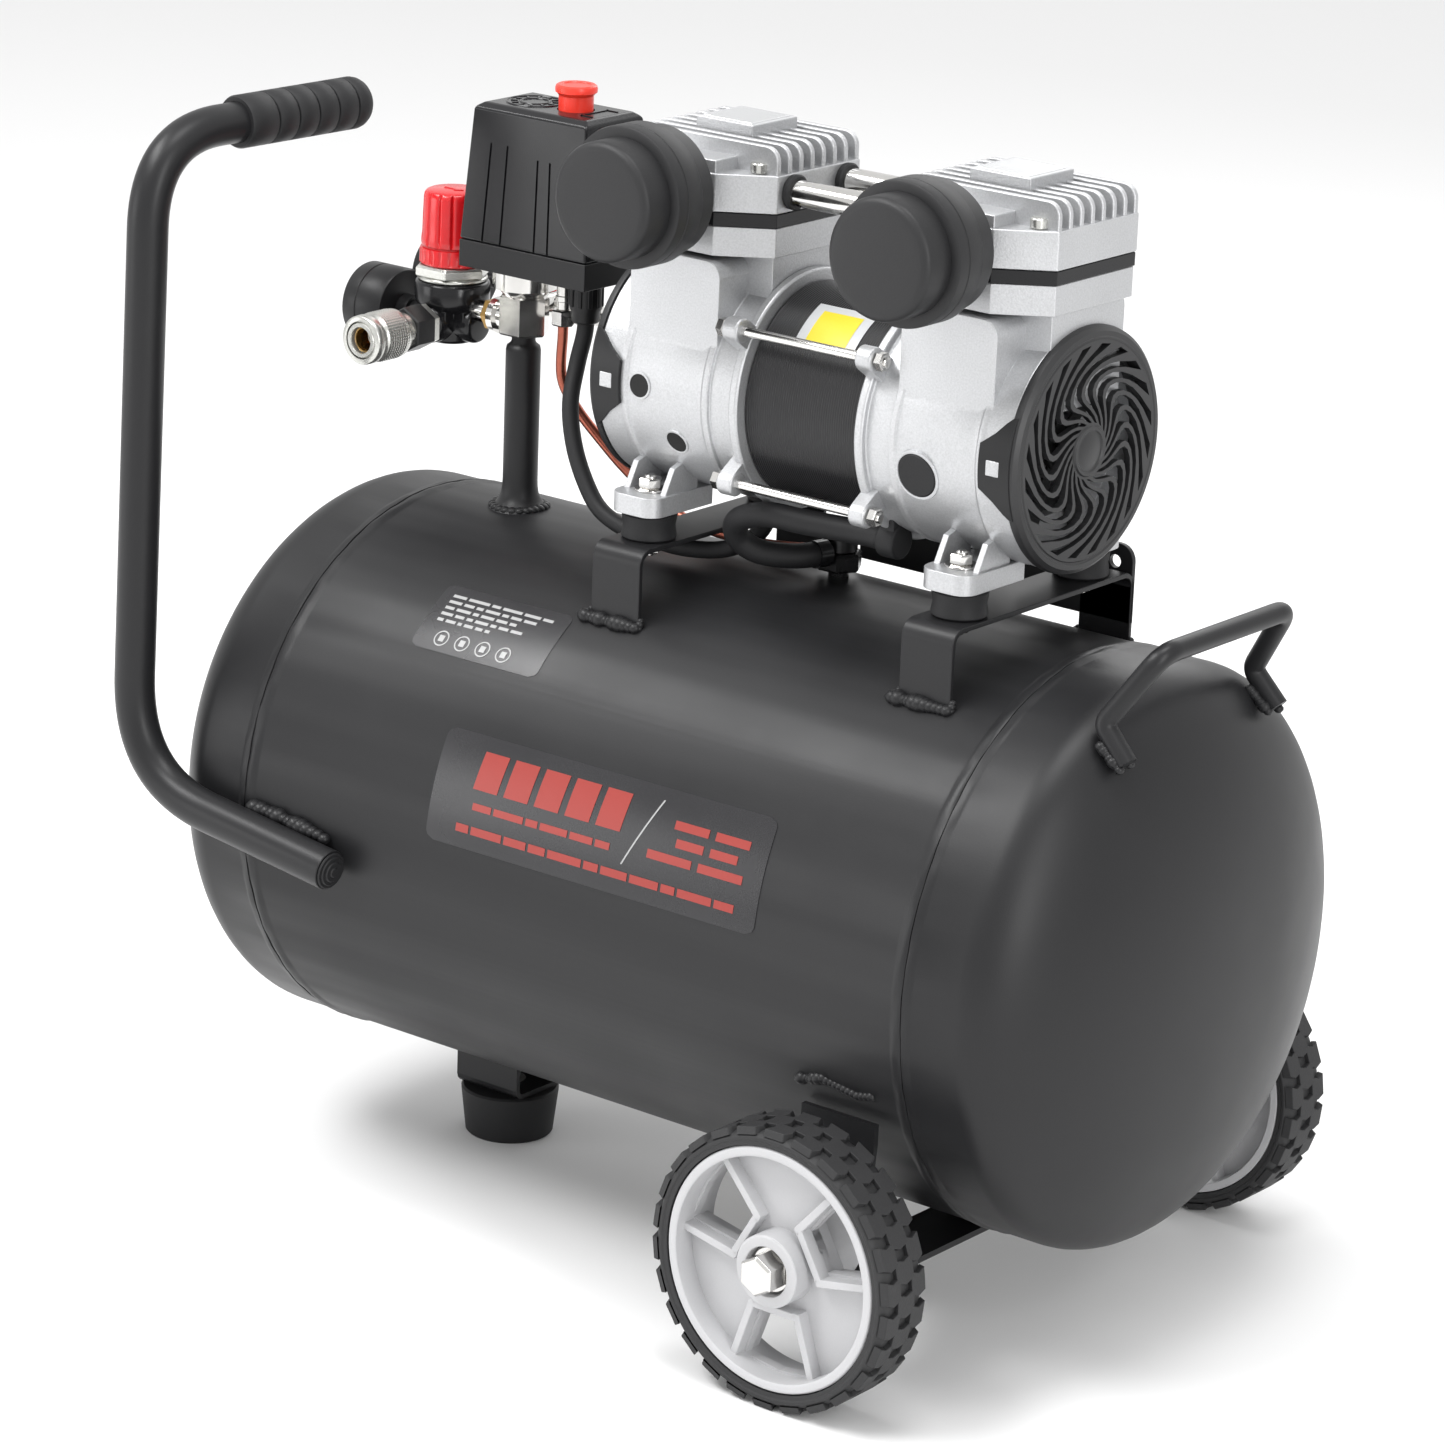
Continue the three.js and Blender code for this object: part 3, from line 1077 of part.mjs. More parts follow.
function switchBase() {
  const tray = cut(
    box([SWITCH_X - SWITCH_WIDTH / 2, -SWITCH_DEPTH / 2, SWITCH_BOTTOM_Z],
      [SWITCH_X + SWITCH_WIDTH / 2, SWITCH_DEPTH / 2, SWITCH_SPLIT_Z - GAP]),
    box([SWITCH_X - SWITCH_WIDTH / 2 + SWITCH_WALL, -SWITCH_DEPTH / 2 + SWITCH_WALL,
      SWITCH_BOTTOM_Z + 3],
    [SWITCH_X + SWITCH_WIDTH / 2 - SWITCH_WALL, SWITCH_DEPTH / 2 - SWITCH_WALL, SWITCH_SPLIT_Z]));
  const gland = moved(turned([
    [GLAND_END_Z, 0], [GLAND_END_Z, GLAND_RADIUS - 1.5], [GLAND_END_Z + 8, GLAND_RADIUS],
    [SWITCH_BOTTOM_Z + 1, GLAND_RADIUS], [SWITCH_BOTTOM_Z + 1, 0],
  ], 'z', SMALL), GLAND_X, 0, 0);
  const nut = moved(hexagon(2 * UNLOADER_NUT_RADIUS, UNLOADER_NUT_END_Z, SWITCH_BOTTOM_Z + 1, 'z'),
    UNLOADER_X - 2, 0, 0);
  const contactBlock = box([SWITCH_X - 20, -16, SWITCH_BOTTOM_Z + 1], [SWITCH_X + 24, 16, 500]);
  return cut(join(tray, gland, nut, contactBlock),
    moved(cylinder(LEAD_RADIUS + 2 * GAP, GLAND_END_Z - 1, GLAND_END_Z + 12, 'z', SMALL), GLAND_X, 0, 0),
    moved(cylinder(UNLOADER_RADIUS + GAP, UNLOADER_NUT_END_Z - 1, UNLOADER_NUT_END_Z + 8, 'z', SMALL),
      UNLOADER_X - 2, 0, 0));
}

function switchCover() {
  const centre = [SWITCH_X, 0];
  const foot = [SWITCH_WIDTH, SWITCH_DEPTH];
  const shoulder = [SWITCH_TOP_WIDTH, SWITCH_TOP_DEPTH];
  const inner = (size) => size.map((value) => value - 2 * SWITCH_WALL);
  const outside = join(
    taperedBox(centre, foot, shoulder, SWITCH_SPLIT_Z, SWITCH_SHOULDER_Z),
    taperedBox(centre, shoulder, shoulder.map((value) => value - 2 * SWITCH_CHAMFER),
      SWITCH_SHOULDER_Z - 0.01, SWITCH_TOP_Z));
  const inside = taperedBox(
    centre, inner(foot), inner(shoulder), SWITCH_SPLIT_Z - 1, SWITCH_SHOULDER_Z - SWITCH_WALL);
  const hole = moved(cylinder(BUTTON_RADIUS + GAP, SWITCH_SHOULDER_Z - 10, SWITCH_TOP_Z + 1, 'z', MEDIUM),
    BUTTON_X, 0, 0);
  return cut(outside, inside, hole);
}

// Mushroom-headed knob: pulled up to run, pushed down to stop.
function switchButton() {
  const flangeBottom = SWITCH_TOP_Z + BUTTON_TRAVEL + 1.5;
  return turned([
    [508, 0], [508, BUTTON_RADIUS], [flangeBottom, BUTTON_RADIUS],
    [flangeBottom + 1, BUTTON_FLANGE_RADIUS], [BUTTON_TOP_Z - 1, BUTTON_FLANGE_RADIUS],
    [BUTTON_TOP_Z, BUTTON_FLANGE_RADIUS - 1], [BUTTON_TOP_Z, 0],
  ], 'z', MEDIUM);
}

add(compressor, 'switch_base', switchBase(), blackPlastic);
add(compressor, 'switch_cover', switchCover(), blackPlastic);
add(compressor, 'switch_button', fromSolid(solid(switchButton())), redPlastic, [BUTTON_X, 0, 0]);

// ---------------------------------------------------------------- regulator, gauges, coupler

function regulatorBody() {
  const barrel = turned([
    [REGULATOR_WAIST_Z - 4, 0], [REGULATOR_WAIST_Z - 4, REGULATOR_RADIUS - 4],
    [REGULATOR_WAIST_Z, REGULATOR_RADIUS], [REGULATOR_TOP_Z, REGULATOR_RADIUS],
    [REGULATOR_TOP_Z, 0],
  ], 'z', LARGE);
  const lower = cylinder(12, REGULATOR_BOTTOM_Z, REGULATOR_WAIST_Z, 'z', MEDIUM);
  const lobes = [];
  for (let i = 0; i < 4; i += 1) {
    const lobe = cylinder(REGULATOR_LOBE_RADIUS, 6, REGULATOR_RADIUS, 'x', SMALL);
    lobes.push(moved(lobe, 0, 0, OUTLET_Z).rotateZ((i * Math.PI) / 2));
  }
  const nut = hexagon(REGULATOR_NUT_FLATS, REGULATOR_TOP_Z - 0.5, REGULATOR_NUT_TOP_Z, 'z');
  const spindle = cylinder(
    SPINDLE_RADIUS, REGULATOR_NUT_TOP_Z - 1, KNOB_TOP_Z - 8, 'z', SMALL);
  const body = join(barrel, lower, ...lobes, nut, spindle);
  const inlet = moved(
    cylinder(5.5 + GAP, REGULATOR_RADIUS - 5 - GAP, REGULATOR_RADIUS + 2, 'x', SMALL), 0, 0, INLET_Z);
  const gaugePort = moved(cylinder(GAUGE_STEM_RADIUS + GAP, -REGULATOR_RADIUS - 1,
    -REGULATOR_RADIUS + 5, 'x', MEDIUM), 0, 0, OUTLET_Z);
  const couplerPort = moved(cylinder(GAUGE_STEM_RADIUS + GAP, -REGULATOR_RADIUS - 1,
    -REGULATOR_RADIUS + 5, 'y', MEDIUM), 0, 0, OUTLET_Z);
  return cut(body, inlet, gaugePort, couplerPort);
}

function regulatorKnob() {
  const foot = REGULATOR_NUT_TOP_Z + GAP;
  const knob = turned([
    [foot, 0], [foot, KNOB_COLLAR_RADIUS], [KNOB_COLLAR_TOP_Z, KNOB_COLLAR_RADIUS],
    [KNOB_COLLAR_TOP_Z, KNOB_RADIUS], [KNOB_TOP_Z - 2, KNOB_RADIUS - 0.6],
    [KNOB_TOP_Z, KNOB_RADIUS - 2.6], [KNOB_TOP_Z, 0],
  ], 'z', LARGE);
  return cut(knob, cylinder(SPINDLE_RADIUS + RUNNING_GAP, foot - 1, KNOB_TOP_Z - 6, 'z', SMALL));
}

// A round gauge with its dial towards -X and its stem towards +X.
function gauge(stemLength) {
  const back = GAUGE_DEPTH;
  return turned([
    [GAUGE_DIAL_DEPTH, 0], [GAUGE_DIAL_DEPTH, GAUGE_DIAL_RADIUS], [0, GAUGE_DIAL_RADIUS],
    [0, GAUGE_RADIUS - 1], [1, GAUGE_RADIUS], [back - 1, GAUGE_RADIUS], [back, GAUGE_RADIUS - 1],
    [back, GAUGE_STEM_RADIUS + 2], [back + 6, GAUGE_STEM_RADIUS + 2], [back + 6, stemRadiusAt(stemLength)],
    [back + stemLength, stemRadiusAt(stemLength)], [back + stemLength, 0],
  ], 'x', MEDIUM);
}

// The pointer, with its pivot boss, lies just clear of the dial and rests at zero.
function needle() {
  const lift = GAUGE_DIAL_DEPTH - 1.8;
  const pointer = box([lift, -0.6, -3], [lift + 0.8, 0.6, NEEDLE_LENGTH]);
  return join(cylinder(1.8, lift, lift + 1.2, 'x', SMALL), pointer).rotateX(-NEEDLE_ZERO);
}

function couplerBody() {
  const port = -REGULATOR_RADIUS + 5 - GAP;
  const body = join(
    cylinder(GAUGE_STEM_RADIUS, COUPLER_HEX_FRONT_Y, port, 'y', MEDIUM),
    hexagon(COUPLER_HEX_FLATS, COUPLER_HEX_FRONT_Y, -REGULATOR_RADIUS - GAP, 'y'),
    cylinder(COUPLER_BODY_RADIUS, COUPLER_FRONT_Y, COUPLER_HEX_FRONT_Y + 1, 'y', MEDIUM));
  return cut(body,
    cylinder(COUPLER_BORE, COUPLER_FRONT_Y - 1, COUPLER_FRONT_Y + COUPLER_BORE_DEPTH, 'y', MEDIUM));
}

function couplerSleeve() {
  const bore = COUPLER_BODY_RADIUS + GAP;
  const from = COUPLER_FRONT_Y;
  const to = from + COUPLER_SLEEVE_LENGTH;
  return turned([
    [from, bore], [from, COUPLER_SLEEVE_RADIUS - 1], [from + 1, COUPLER_SLEEVE_RADIUS],
    [from + 4, COUPLER_SLEEVE_RADIUS], [from + 5, COUPLER_SLEEVE_RADIUS - 1],
    [from + 6, COUPLER_SLEEVE_RADIUS], [to - 1, COUPLER_SLEEVE_RADIUS],
    [to, COUPLER_SLEEVE_RADIUS - 1], [to, bore], [from, bore],
  ], 'y', MEDIUM);
}

function stemRadiusAt(stemLength) {
  return stemLength > 20 ? GAUGE_STEM_RADIUS - 1.5 : GAUGE_STEM_RADIUS;
}

add(compressor, 'regulator_body', regulatorBody(), blackPlastic, [REGULATOR_X, 0, 0]);
add(compressor, 'regulator_knob', regulatorKnob(), redPlastic, [REGULATOR_X, 0, 0]);

const outletStem = REGULATOR_X - REGULATOR_RADIUS + 5 - GAP - GAUGE_FACE_X - GAUGE_DEPTH;
const tankStem = RISER_X - 9 - TANK_GAUGE_FACE_X - GAUGE_DEPTH;
add(compressor, 'outlet_gauge', fromSolid(solid(gauge(outletStem))), blackPlastic,
  [GAUGE_FACE_X, 0, OUTLET_Z]);
add(compressor, 'outlet_gauge_needle', needle(), needleWhite, [GAUGE_FACE_X, 0, OUTLET_Z]);
add(compressor, 'tank_gauge', fromSolid(solid(gauge(tankStem))), blackPlastic,
  [TANK_GAUGE_FACE_X, TANK_GAUGE_Y, TANK_GAUGE_Z]);
add(compressor, 'tank_gauge_needle', needle(), needleWhite,
  [TANK_GAUGE_FACE_X, TANK_GAUGE_Y, TANK_GAUGE_Z]);
add(compressor, 'coupler_body', couplerBody(), steel, [REGULATOR_X, 0, OUTLET_Z]);
add(compressor, 'coupler_sleeve', fromSolid(solid(couplerSleeve())), steel,
  [REGULATOR_X, 0, OUTLET_Z]);

// ---------------------------------------------------------------- check valve, hose and leads

const valveHalf = CHECK_VALVE_FLATS / 2;

function checkValve() {
  const seat = TANK_AXIS_Z + Math.sqrt(TANK_RADIUS ** 2 - CHECK_VALVE_Y ** 2) + 3;
  const body = cylinder(valveHalf, seat, CHECK_VALVE_TOP_Z, 'z', SMALL);
  const stub = cylinder(HOSE_RADIUS - 0.5, seat - 16, seat + 1, 'z', SMALL);
  return moved(join(body, stub), CHECK_VALVE_X, CHECK_VALVE_Y, 0);
}

const hoseStartX = PUMP_CENTRE_X + RING_START - GAP;
const hoseStartZ = PUMP_AXIS_Z + HOSE_PORT_Z;
const hoseRoute = [
  [hoseStartX, HOSE_PORT_Y, hoseStartZ], [84, HOSE_PORT_Y, hoseStartZ], [55, -33, 368.5],
  [32, -34, 368], [13, -31, 361], [9, -26, 351], [16, -19, 344], [29, -10, 342.5],
  [36, -2, CHECK_VALVE_PORT_Z],
  [CHECK_VALVE_X, CHECK_VALVE_Y - valveHalf - GAP, CHECK_VALVE_PORT_Z]];
const leadRoute = [
  [GLAND_X, 0, GLAND_END_Z + 11], [GLAND_X, 0, GLAND_END_Z - 4], [-111, -4, 410], [-108, -12, 392],
  [-101, -17, 374], [-91, -20, 358], [-79, -22, 346], [-62, -22, 339.5], [-44, -20, 337],
  [-26, -18, 336.5], [-8, -13, 339], [5, -7, 347], [10, -4, 357],
  [11, -4, PUMP_AXIS_Z - CASE_RADIUS - GAP]];
const unloaderRoute = [
  [UNLOADER_X - 2, 0, UNLOADER_NUT_END_Z + 7], [UNLOADER_X - 2, 0, UNLOADER_NUT_END_Z - 4],
  [UNLOADER_X - 2, 0, 400], [-116, 2, 386], [-104, 6, 372], [-88, 10, 357], [-66, 12, 344],
  [-42, 12, 338], [-12, 12, 337], [12, 14, 338.5],
  [CHECK_VALVE_X - valveHalf - GAP, CHECK_VALVE_Y, 341]];

add(compressor, 'check_valve', checkValve(), brass);
add(compressor, 'delivery_hose', fromSolid(solid(rod(smoothPath(hoseRoute), HOSE_RADIUS, 8, 16))),
  rubber);
add(compressor, 'power_lead', fromSolid(solid(rod(smoothPath(leadRoute), LEAD_RADIUS, 8, 20))),
  rubber);
add(compressor, 'unloader_tube',
  fromSolid(solid(rod(smoothPath(unloaderRoute), UNLOADER_RADIUS, 8, 20))), copper);

export default compressor;
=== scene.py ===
"""Looks of the air compressor: camera, lights, materials and the finely modelled pieces over the CAD frame.

Lengths are in millimetres until a piece is finished; +X runs towards the wheels and -Y is the control side.
"""
import math

import bmesh
import bpy
from mathutils import Matrix, Vector


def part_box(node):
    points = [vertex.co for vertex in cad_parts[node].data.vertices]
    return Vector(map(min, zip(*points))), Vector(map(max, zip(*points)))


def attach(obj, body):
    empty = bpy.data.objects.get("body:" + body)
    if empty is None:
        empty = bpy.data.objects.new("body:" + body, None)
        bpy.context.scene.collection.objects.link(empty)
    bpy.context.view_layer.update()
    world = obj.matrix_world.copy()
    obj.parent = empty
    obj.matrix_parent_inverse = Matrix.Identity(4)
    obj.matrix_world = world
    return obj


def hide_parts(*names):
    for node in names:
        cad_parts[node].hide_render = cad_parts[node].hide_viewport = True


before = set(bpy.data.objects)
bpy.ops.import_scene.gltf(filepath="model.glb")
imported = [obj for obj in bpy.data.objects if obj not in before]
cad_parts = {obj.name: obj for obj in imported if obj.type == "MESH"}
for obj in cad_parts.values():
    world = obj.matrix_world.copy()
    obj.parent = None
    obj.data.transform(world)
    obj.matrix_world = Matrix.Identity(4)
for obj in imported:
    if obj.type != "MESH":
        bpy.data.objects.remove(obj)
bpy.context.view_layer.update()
MM = 0.001
ORIGIN = (0, 0, 0)
SIDES = (("left", -1), ("right", 1))


def low(node):
    return Vector(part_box(node)[0]) / MM


def high(node):
    return Vector(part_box(node)[1]) / MM


def middle(node):
    return (low(node) + high(node)) / 2


# ---------------------------------------------------------------- camera, floor and light

EYE = Vector((1521.9, -1964.4, 1033.9))
VIEW = Vector((-0.5880, 0.7509, -0.3007)).normalized()
ROLL_UP = Vector((-0.2148, 0.2135, 0.9530))
LENS = 134.37


def make_camera():
    data = bpy.data.cameras.new("camera")
    data.sensor_width = 36
    data.lens = LENS
    data.clip_end = 50
    camera = bpy.data.objects.new("camera", data)
    right = VIEW.cross(ROLL_UP).normalized()
    up = right.cross(VIEW)
    turn = Matrix((right, up, -VIEW)).transposed().to_4x4()
    camera.matrix_world = Matrix.Translation(EYE * MM) @ turn
    bpy.context.scene.collection.objects.link(camera)
    bpy.context.scene.camera = camera


def make_stage():
    mesh = bpy.data.meshes.new("floor")
    reach = 9.0
    corners = [(-reach, -reach, 0), (reach, -reach, 0), (reach, reach, 0), (-reach, reach, 0)]
    mesh.from_pydata(corners, [], [(0, 1, 2, 3)])
    floor = bpy.data.objects.new("floor", mesh)
    bpy.context.scene.collection.objects.link(floor)
    paint = bpy.data.materials.new("floor_paint")
    paint.use_nodes = True
    shader = paint.node_tree.nodes["Principled BSDF"]
    shader.inputs["Base Color"].default_value = (0.86, 0.86, 0.86, 1)
    shader.inputs["Roughness"].default_value = 0.9
    shader.inputs["Specular IOR Level"].default_value = 0.2
    mesh.materials.append(paint)


def soft_light(name, place, target, size, power):
    data = bpy.data.lights.new(name, "AREA")
    data.shape = "RECTANGLE"
    data.size, data.size_y = size
    data.energy = power
    light = bpy.data.objects.new(name, data)
    light.location = place
    aim = Vector(target) - Vector(place)
    light.rotation_euler = aim.to_track_quat("-Z", "Y").to_euler()
    bpy.context.scene.collection.objects.link(light)


def make_lights():
    world = bpy.data.worlds.new("studio")
    world.use_nodes = True
    background = world.node_tree.nodes["Background"]
    background.inputs["Color"].default_value = (1, 1, 1, 1)
    background.inputs["Strength"].default_value = 0.92
    bpy.context.scene.world = world
    soft_light("main_box", (-0.75, -1.05, 1.95), (0, 0, 0.25), (1.5, 0.55), 36)
    soft_light("overhead", (0.4, -0.2, 2.4), (0.05, 0, 0.3), (0.9, 0.7), 18)
    soft_light("side_strip", (2.0, -0.9, 1.0), (0.15, 0, 0.3), (0.5, 1.5), 18)
    soft_light("back_strip", (-0.4, 2.0, 1.5), (0, 0, 0.3), (1.6, 0.8), 10)
    soft_light("low_fill", (-1.6, -1.6, 0.5), (-0.1, 0, 0.25), (0.9, 0.7), 6)
    bpy.context.scene.view_settings.view_transform = "Standard"


# ---------------------------------------------------------------- materials

def surface(name, colour, roughness, metallic=0.0, grain=900.0, depth=0.05, vary=0.06,
            wear=0.08, specular=0.5, coat=0.0):
    """A material with fine grain in its relief, and slow changes of tone and gloss."""
    made = bpy.data.materials.new(name)
    made.use_nodes = True
    nodes, links = made.node_tree.nodes, made.node_tree.links
    shader = nodes["Principled BSDF"]
    shader.inputs["Metallic"].default_value = metallic
    shader.inputs["Specular IOR Level"].default_value = specular
    shader.inputs["Coat Weight"].default_value = coat
    shader.inputs["Coat Roughness"].default_value = 0.15
    place = nodes.new("ShaderNodeTexCoord")

    def noise(scale, detail):
        made_noise = nodes.new("ShaderNodeTexNoise")
        made_noise.inputs["Scale"].default_value = scale
        made_noise.inputs["Detail"].default_value = detail
        links.new(place.outputs["Object"], made_noise.inputs["Vector"])
        return made_noise

    cloud = noise(14.0, 4.0)
    fine = noise(grain, 2.0)
    tone = nodes.new("ShaderNodeValToRGB")
    tone.color_ramp.elements[0].position = 0.3
    tone.color_ramp.elements[1].position = 0.7
    dark = [max(0.0, channel * (1 - vary)) for channel in colour]
    light = [min(1.0, channel * (1 + vary)) for channel in colour]
    tone.color_ramp.elements[0].color = (*dark, 1)
    tone.color_ramp.elements[1].color = (*light, 1)
    blend = nodes.new("ShaderNodeMix")
    blend.inputs["Factor"].default_value = 0.5
    links.new(cloud.outputs["Fac"], blend.inputs["A"])
    links.new(fine.outputs["Fac"], blend.inputs["B"])
    links.new(blend.outputs["Result"], tone.inputs["Fac"])
    links.new(tone.outputs["Color"], shader.inputs["Base Color"])
    gloss = nodes.new("ShaderNodeMapRange")
    gloss.inputs["From Min"].default_value = 0.3
    gloss.inputs["From Max"].default_value = 0.7
    gloss.inputs["To Min"].default_value = max(0.03, roughness - wear)
    gloss.inputs["To Max"].default_value = min(1.0, roughness + wear)
    links.new(cloud.outputs["Fac"], gloss.inputs["Value"])
    links.new(gloss.outputs["Result"], shader.inputs["Roughness"])
    relief = nodes.new("ShaderNodeBump")
    relief.inputs["Strength"].default_value = 0.6
    relief.inputs["Distance"].default_value = depth * MM
    links.new(fine.outputs["Fac"], relief.inputs["Height"])
    links.new(relief.outputs["Normal"], shader.inputs["Normal"])
    return made


def laminated(name, colour, pitch):
    """Stacked sheet edges: fine bands along X over the base material."""
    made = surface(name, colour, 0.36, 0.0, grain=500, depth=0.03, specular=0.45)
    nodes, links = made.node_tree.nodes, made.node_tree.links
    shader = nodes["Principled BSDF"]
    bands = nodes.new("ShaderNodeTexWave")
    bands.bands_direction = "X"
    bands.inputs["Scale"].default_value = 0.314 / (pitch * MM)
    bands.inputs["Distortion"].default_value = 0.0
    place = nodes.new("ShaderNodeTexCoord")
    links.new(place.outputs["Object"], bands.inputs["Vector"])
    relief = nodes.new("ShaderNodeBump")
    relief.inputs["Strength"].default_value = 0.8
    relief.inputs["Distance"].default_value = 0.25 * MM
    links.new(bands.outputs["Fac"], relief.inputs["Height"])
    links.new(relief.outputs["Normal"], shader.inputs["Normal"])
    return made


LOOKS = {
    "tank": surface("satin_black_paint", (0.0125, 0.0125, 0.0135), 0.40, 0.0, 1400, 0.05, 0.10, 0.05,
                    specular=0.30),
    "cast": surface("blasted_aluminium", (0.50, 0.505, 0.515), 0.42, 0.70, 1100, 0.22, 0.16, 0.07),
    "machined": surface("machined_aluminium", (0.66, 0.67, 0.68), 0.25, 0.9, 700, 0.04, 0.05, 0.05),
    "chrome": surface("bright_plating", (0.68, 0.67, 0.65), 0.16, 1.0, 500, 0.01, 0.04, 0.06),
    "zinc": surface("zinc_plating", (0.56, 0.56, 0.53), 0.28, 0.9, 600, 0.03, 0.10, 0.10),
    "dark_metal": surface("blackened_steel", (0.022, 0.022, 0.023), 0.34, 0.5, 700, 0.03, 0.12, 0.08),
    "brass": surface("turned_brass", (0.42, 0.26, 0.09), 0.28, 1.0, 600, 0.03, 0.10, 0.08),
    "copper": surface("copper_tube", (0.40, 0.12, 0.08), 0.32, 0.9, 500, 0.02, 0.14, 0.10),
    "cover": surface("fan_cover_black", (0.017, 0.017, 0.018), 0.42, 0.0, 900, 0.05, 0.08, 0.06,
                     specular=0.45),
    "plastic": surface("moulded_black", (0.010, 0.010, 0.0108), 0.36, 0.0, 900, 0.05, 0.08, 0.06,
                       specular=0.30),
    "matt": surface("matt_black_plastic", (0.016, 0.016, 0.017), 0.50, 0.0, 1500, 0.09, 0.10, 0.06,
                    specular=0.34),
    "gloss": surface("gloss_black", (0.008, 0.008, 0.009), 0.22, 0.0, 500, 0.02, 0.06, 0.06, specular=0.34),
    "rubber": surface("moulded_rubber", (0.013, 0.013, 0.014), 0.58, 0.0, 1100, 0.10, 0.12, 0.07,
                      specular=0.32),
    "tyre": surface("tyre_rubber", (0.020, 0.020, 0.021), 0.62, 0.0, 900, 0.20, 0.14, 0.08, specular=0.42),
    "rim": surface("rim_plastic", (0.47, 0.47, 0.48), 0.42, 0.0, 1000, 0.04, 0.03, 0.05, specular=0.35),
    "red": surface("red_plastic", (0.56, 0.006, 0.010), 0.27, 0.0, 700, 0.02, 0.05, 0.05, coat=0.2),
    "orange": surface("button_red", (0.78, 0.035, 0.018), 0.33, 0.0, 700, 0.02, 0.05, 0.05),
    "core": laminated("sheet_stack", (0.010, 0.010, 0.011), 1.3),
    "dark": surface("shadowed_inside", (0.006, 0.006, 0.006), 0.8, 0.0, 400, 0.02, 0.05, 0.02),
    "print_dark": surface("label_film", (0.015, 0.0145, 0.0165), 0.27, 0.0, 1500, 0.05, 0.20, 0.04),
    "print_red": surface("label_red_ink", (0.27, 0.026, 0.019), 0.36, 0.0, 900, 0.01, 0.04, 0.04),
    "print_pale": surface("label_pale_ink", (0.34, 0.34, 0.34), 0.36, 0.0, 900, 0.01, 0.03, 0.04),
    "print_white": surface("patch_film", (0.50, 0.51, 0.52), 0.34, 0.0, 900, 0.01, 0.03, 0.04),
    "patch": surface("plain_yellow_patch", (0.70, 0.56, 0.03), 0.36, 0.0, 900, 0.01, 0.04, 0.04),
    "dial": surface("dial_white", (0.86, 0.86, 0.84), 0.45, 0.0, 900, 0.01, 0.02, 0.04),
}


# ---------------------------------------------------------------- shapes: (vertices, faces) in millimetres

AXES = {
    "X": (Vector((1, 0, 0)), Vector((0, 1, 0)), Vector((0, 0, 1))),
    "Y": (Vector((0, 1, 0)), Vector((0, 0, 1)), Vector((1, 0, 0))),
    "Z": (Vector((0, 0, 1)), Vector((1, 0, 0)), Vector((0, 1, 0))),
}


def lathe(profile, axis="X", centre=ORIGIN, n=96, ripple=None):
    """Turns (along, radius) points round an axis; ripple(angle, along, radius) may change a radius."""
    along_dir, u, v = AXES[axis]
    origin = Vector(centre)
    closed = profile[0] == profile[-1]
    rows = profile[:-1] if closed else profile
    verts, index = [], []
    for along, radius in rows:
        if radius < 1e-6:
            index.append([len(verts)] * n)
            verts.append(origin + along_dir * along)
            continue
        ring = []
        for i in range(n):
            angle = 2 * math.pi * i / n
            r = ripple(angle, along, radius) if ripple else radius
            ring.append(len(verts))
            verts.append(origin + along_dir * along + (u * math.cos(angle) + v * math.sin(angle)) * r)
        index.append(ring)
    faces = []
    spans = list(zip(index, index[1:] + index[:1])) if closed else list(zip(index, index[1:]))
    for a, b in spans:
        for i in range(n):
            j = (i + 1) % n
            face = []
            for corner in (a[i], a[j], b[j], b[i]):
                if corner not in face:
                    face.append(corner)
            if len(face) > 2:
                faces.append(face)
    return verts, faces


def disc(radius, start, end, axis, centre=ORIGIN, n=48, chamfer=0.0):
    c = min(chamfer, abs(end - start) / 2, radius / 2)
    step = c if end > start else -c
    profile = [(start, 0), (start, radius - c), (start + step, radius), (end - step, radius),
               (end, radius - c), (end, 0)]
    if c == 0:
        profile = [(start, 0), (start, radius), (end, radius), (end, 0)]
    return lathe(profile, axis, centre, n)


def hexagon(flats, start, end, axis, centre=ORIGIN, chamfer=0.8):
    return disc(flats / math.sqrt(3), start, end, axis, centre, 6, chamfer)


def block(a, b):
    xs, ys, zs = zip(a, b)
    verts = [Vector((x, y, z)) for x in xs for y in ys for z in zs]
    faces = [(0, 1, 3, 2), (4, 6, 7, 5), (0, 4, 5, 1), (2, 3, 7, 6), (0, 2, 6, 4), (1, 5, 7, 3)]
    return verts, faces


def prism(points, start, end, axis="Z"):
    """A closed outline in the two other axes (X-Y, X-Z or Y-Z), run along the axis."""
    def corner(p, along):
        if axis == "Z":
            return Vector((p[0], p[1], along))
        if axis == "Y":
            return Vector((p[0], along, p[1]))
        return Vector((along, p[0], p[1]))
    n = len(points)
    verts = [corner(p, start) for p in points] + [corner(p, end) for p in points]
    faces = [list(range(n)), list(range(2 * n - 1, n - 1, -1))]
    faces += [(i, (i + 1) % n, n + (i + 1) % n, n + i) for i in range(n)]
    return verts, faces


def arc(x, y, radius, start, end):
    """Seven points along an arc between two angles in degrees."""
    angles = [math.radians(start + (end - start) * i / 6) for i in range(7)]
    return [(x + radius * math.cos(a), y + radius * math.sin(a)) for a in angles]


def strip(verts):
    """A ribbon of quads over pairs of points."""
    return verts, [(i, i + 1, i + 3, i + 2) for i in range(0, len(verts) - 2, 2)]


def moved(shape, offset=ORIGIN, turn=None, mirror=False):
    verts, faces = shape
    offset = Vector(offset)
    result = []
    for vert in verts:
        point = Vector(vert)
        if turn is not None:
            point = turn @ point
        if mirror:
            point.x = -point.x
        result.append(point + offset)
    return result, faces


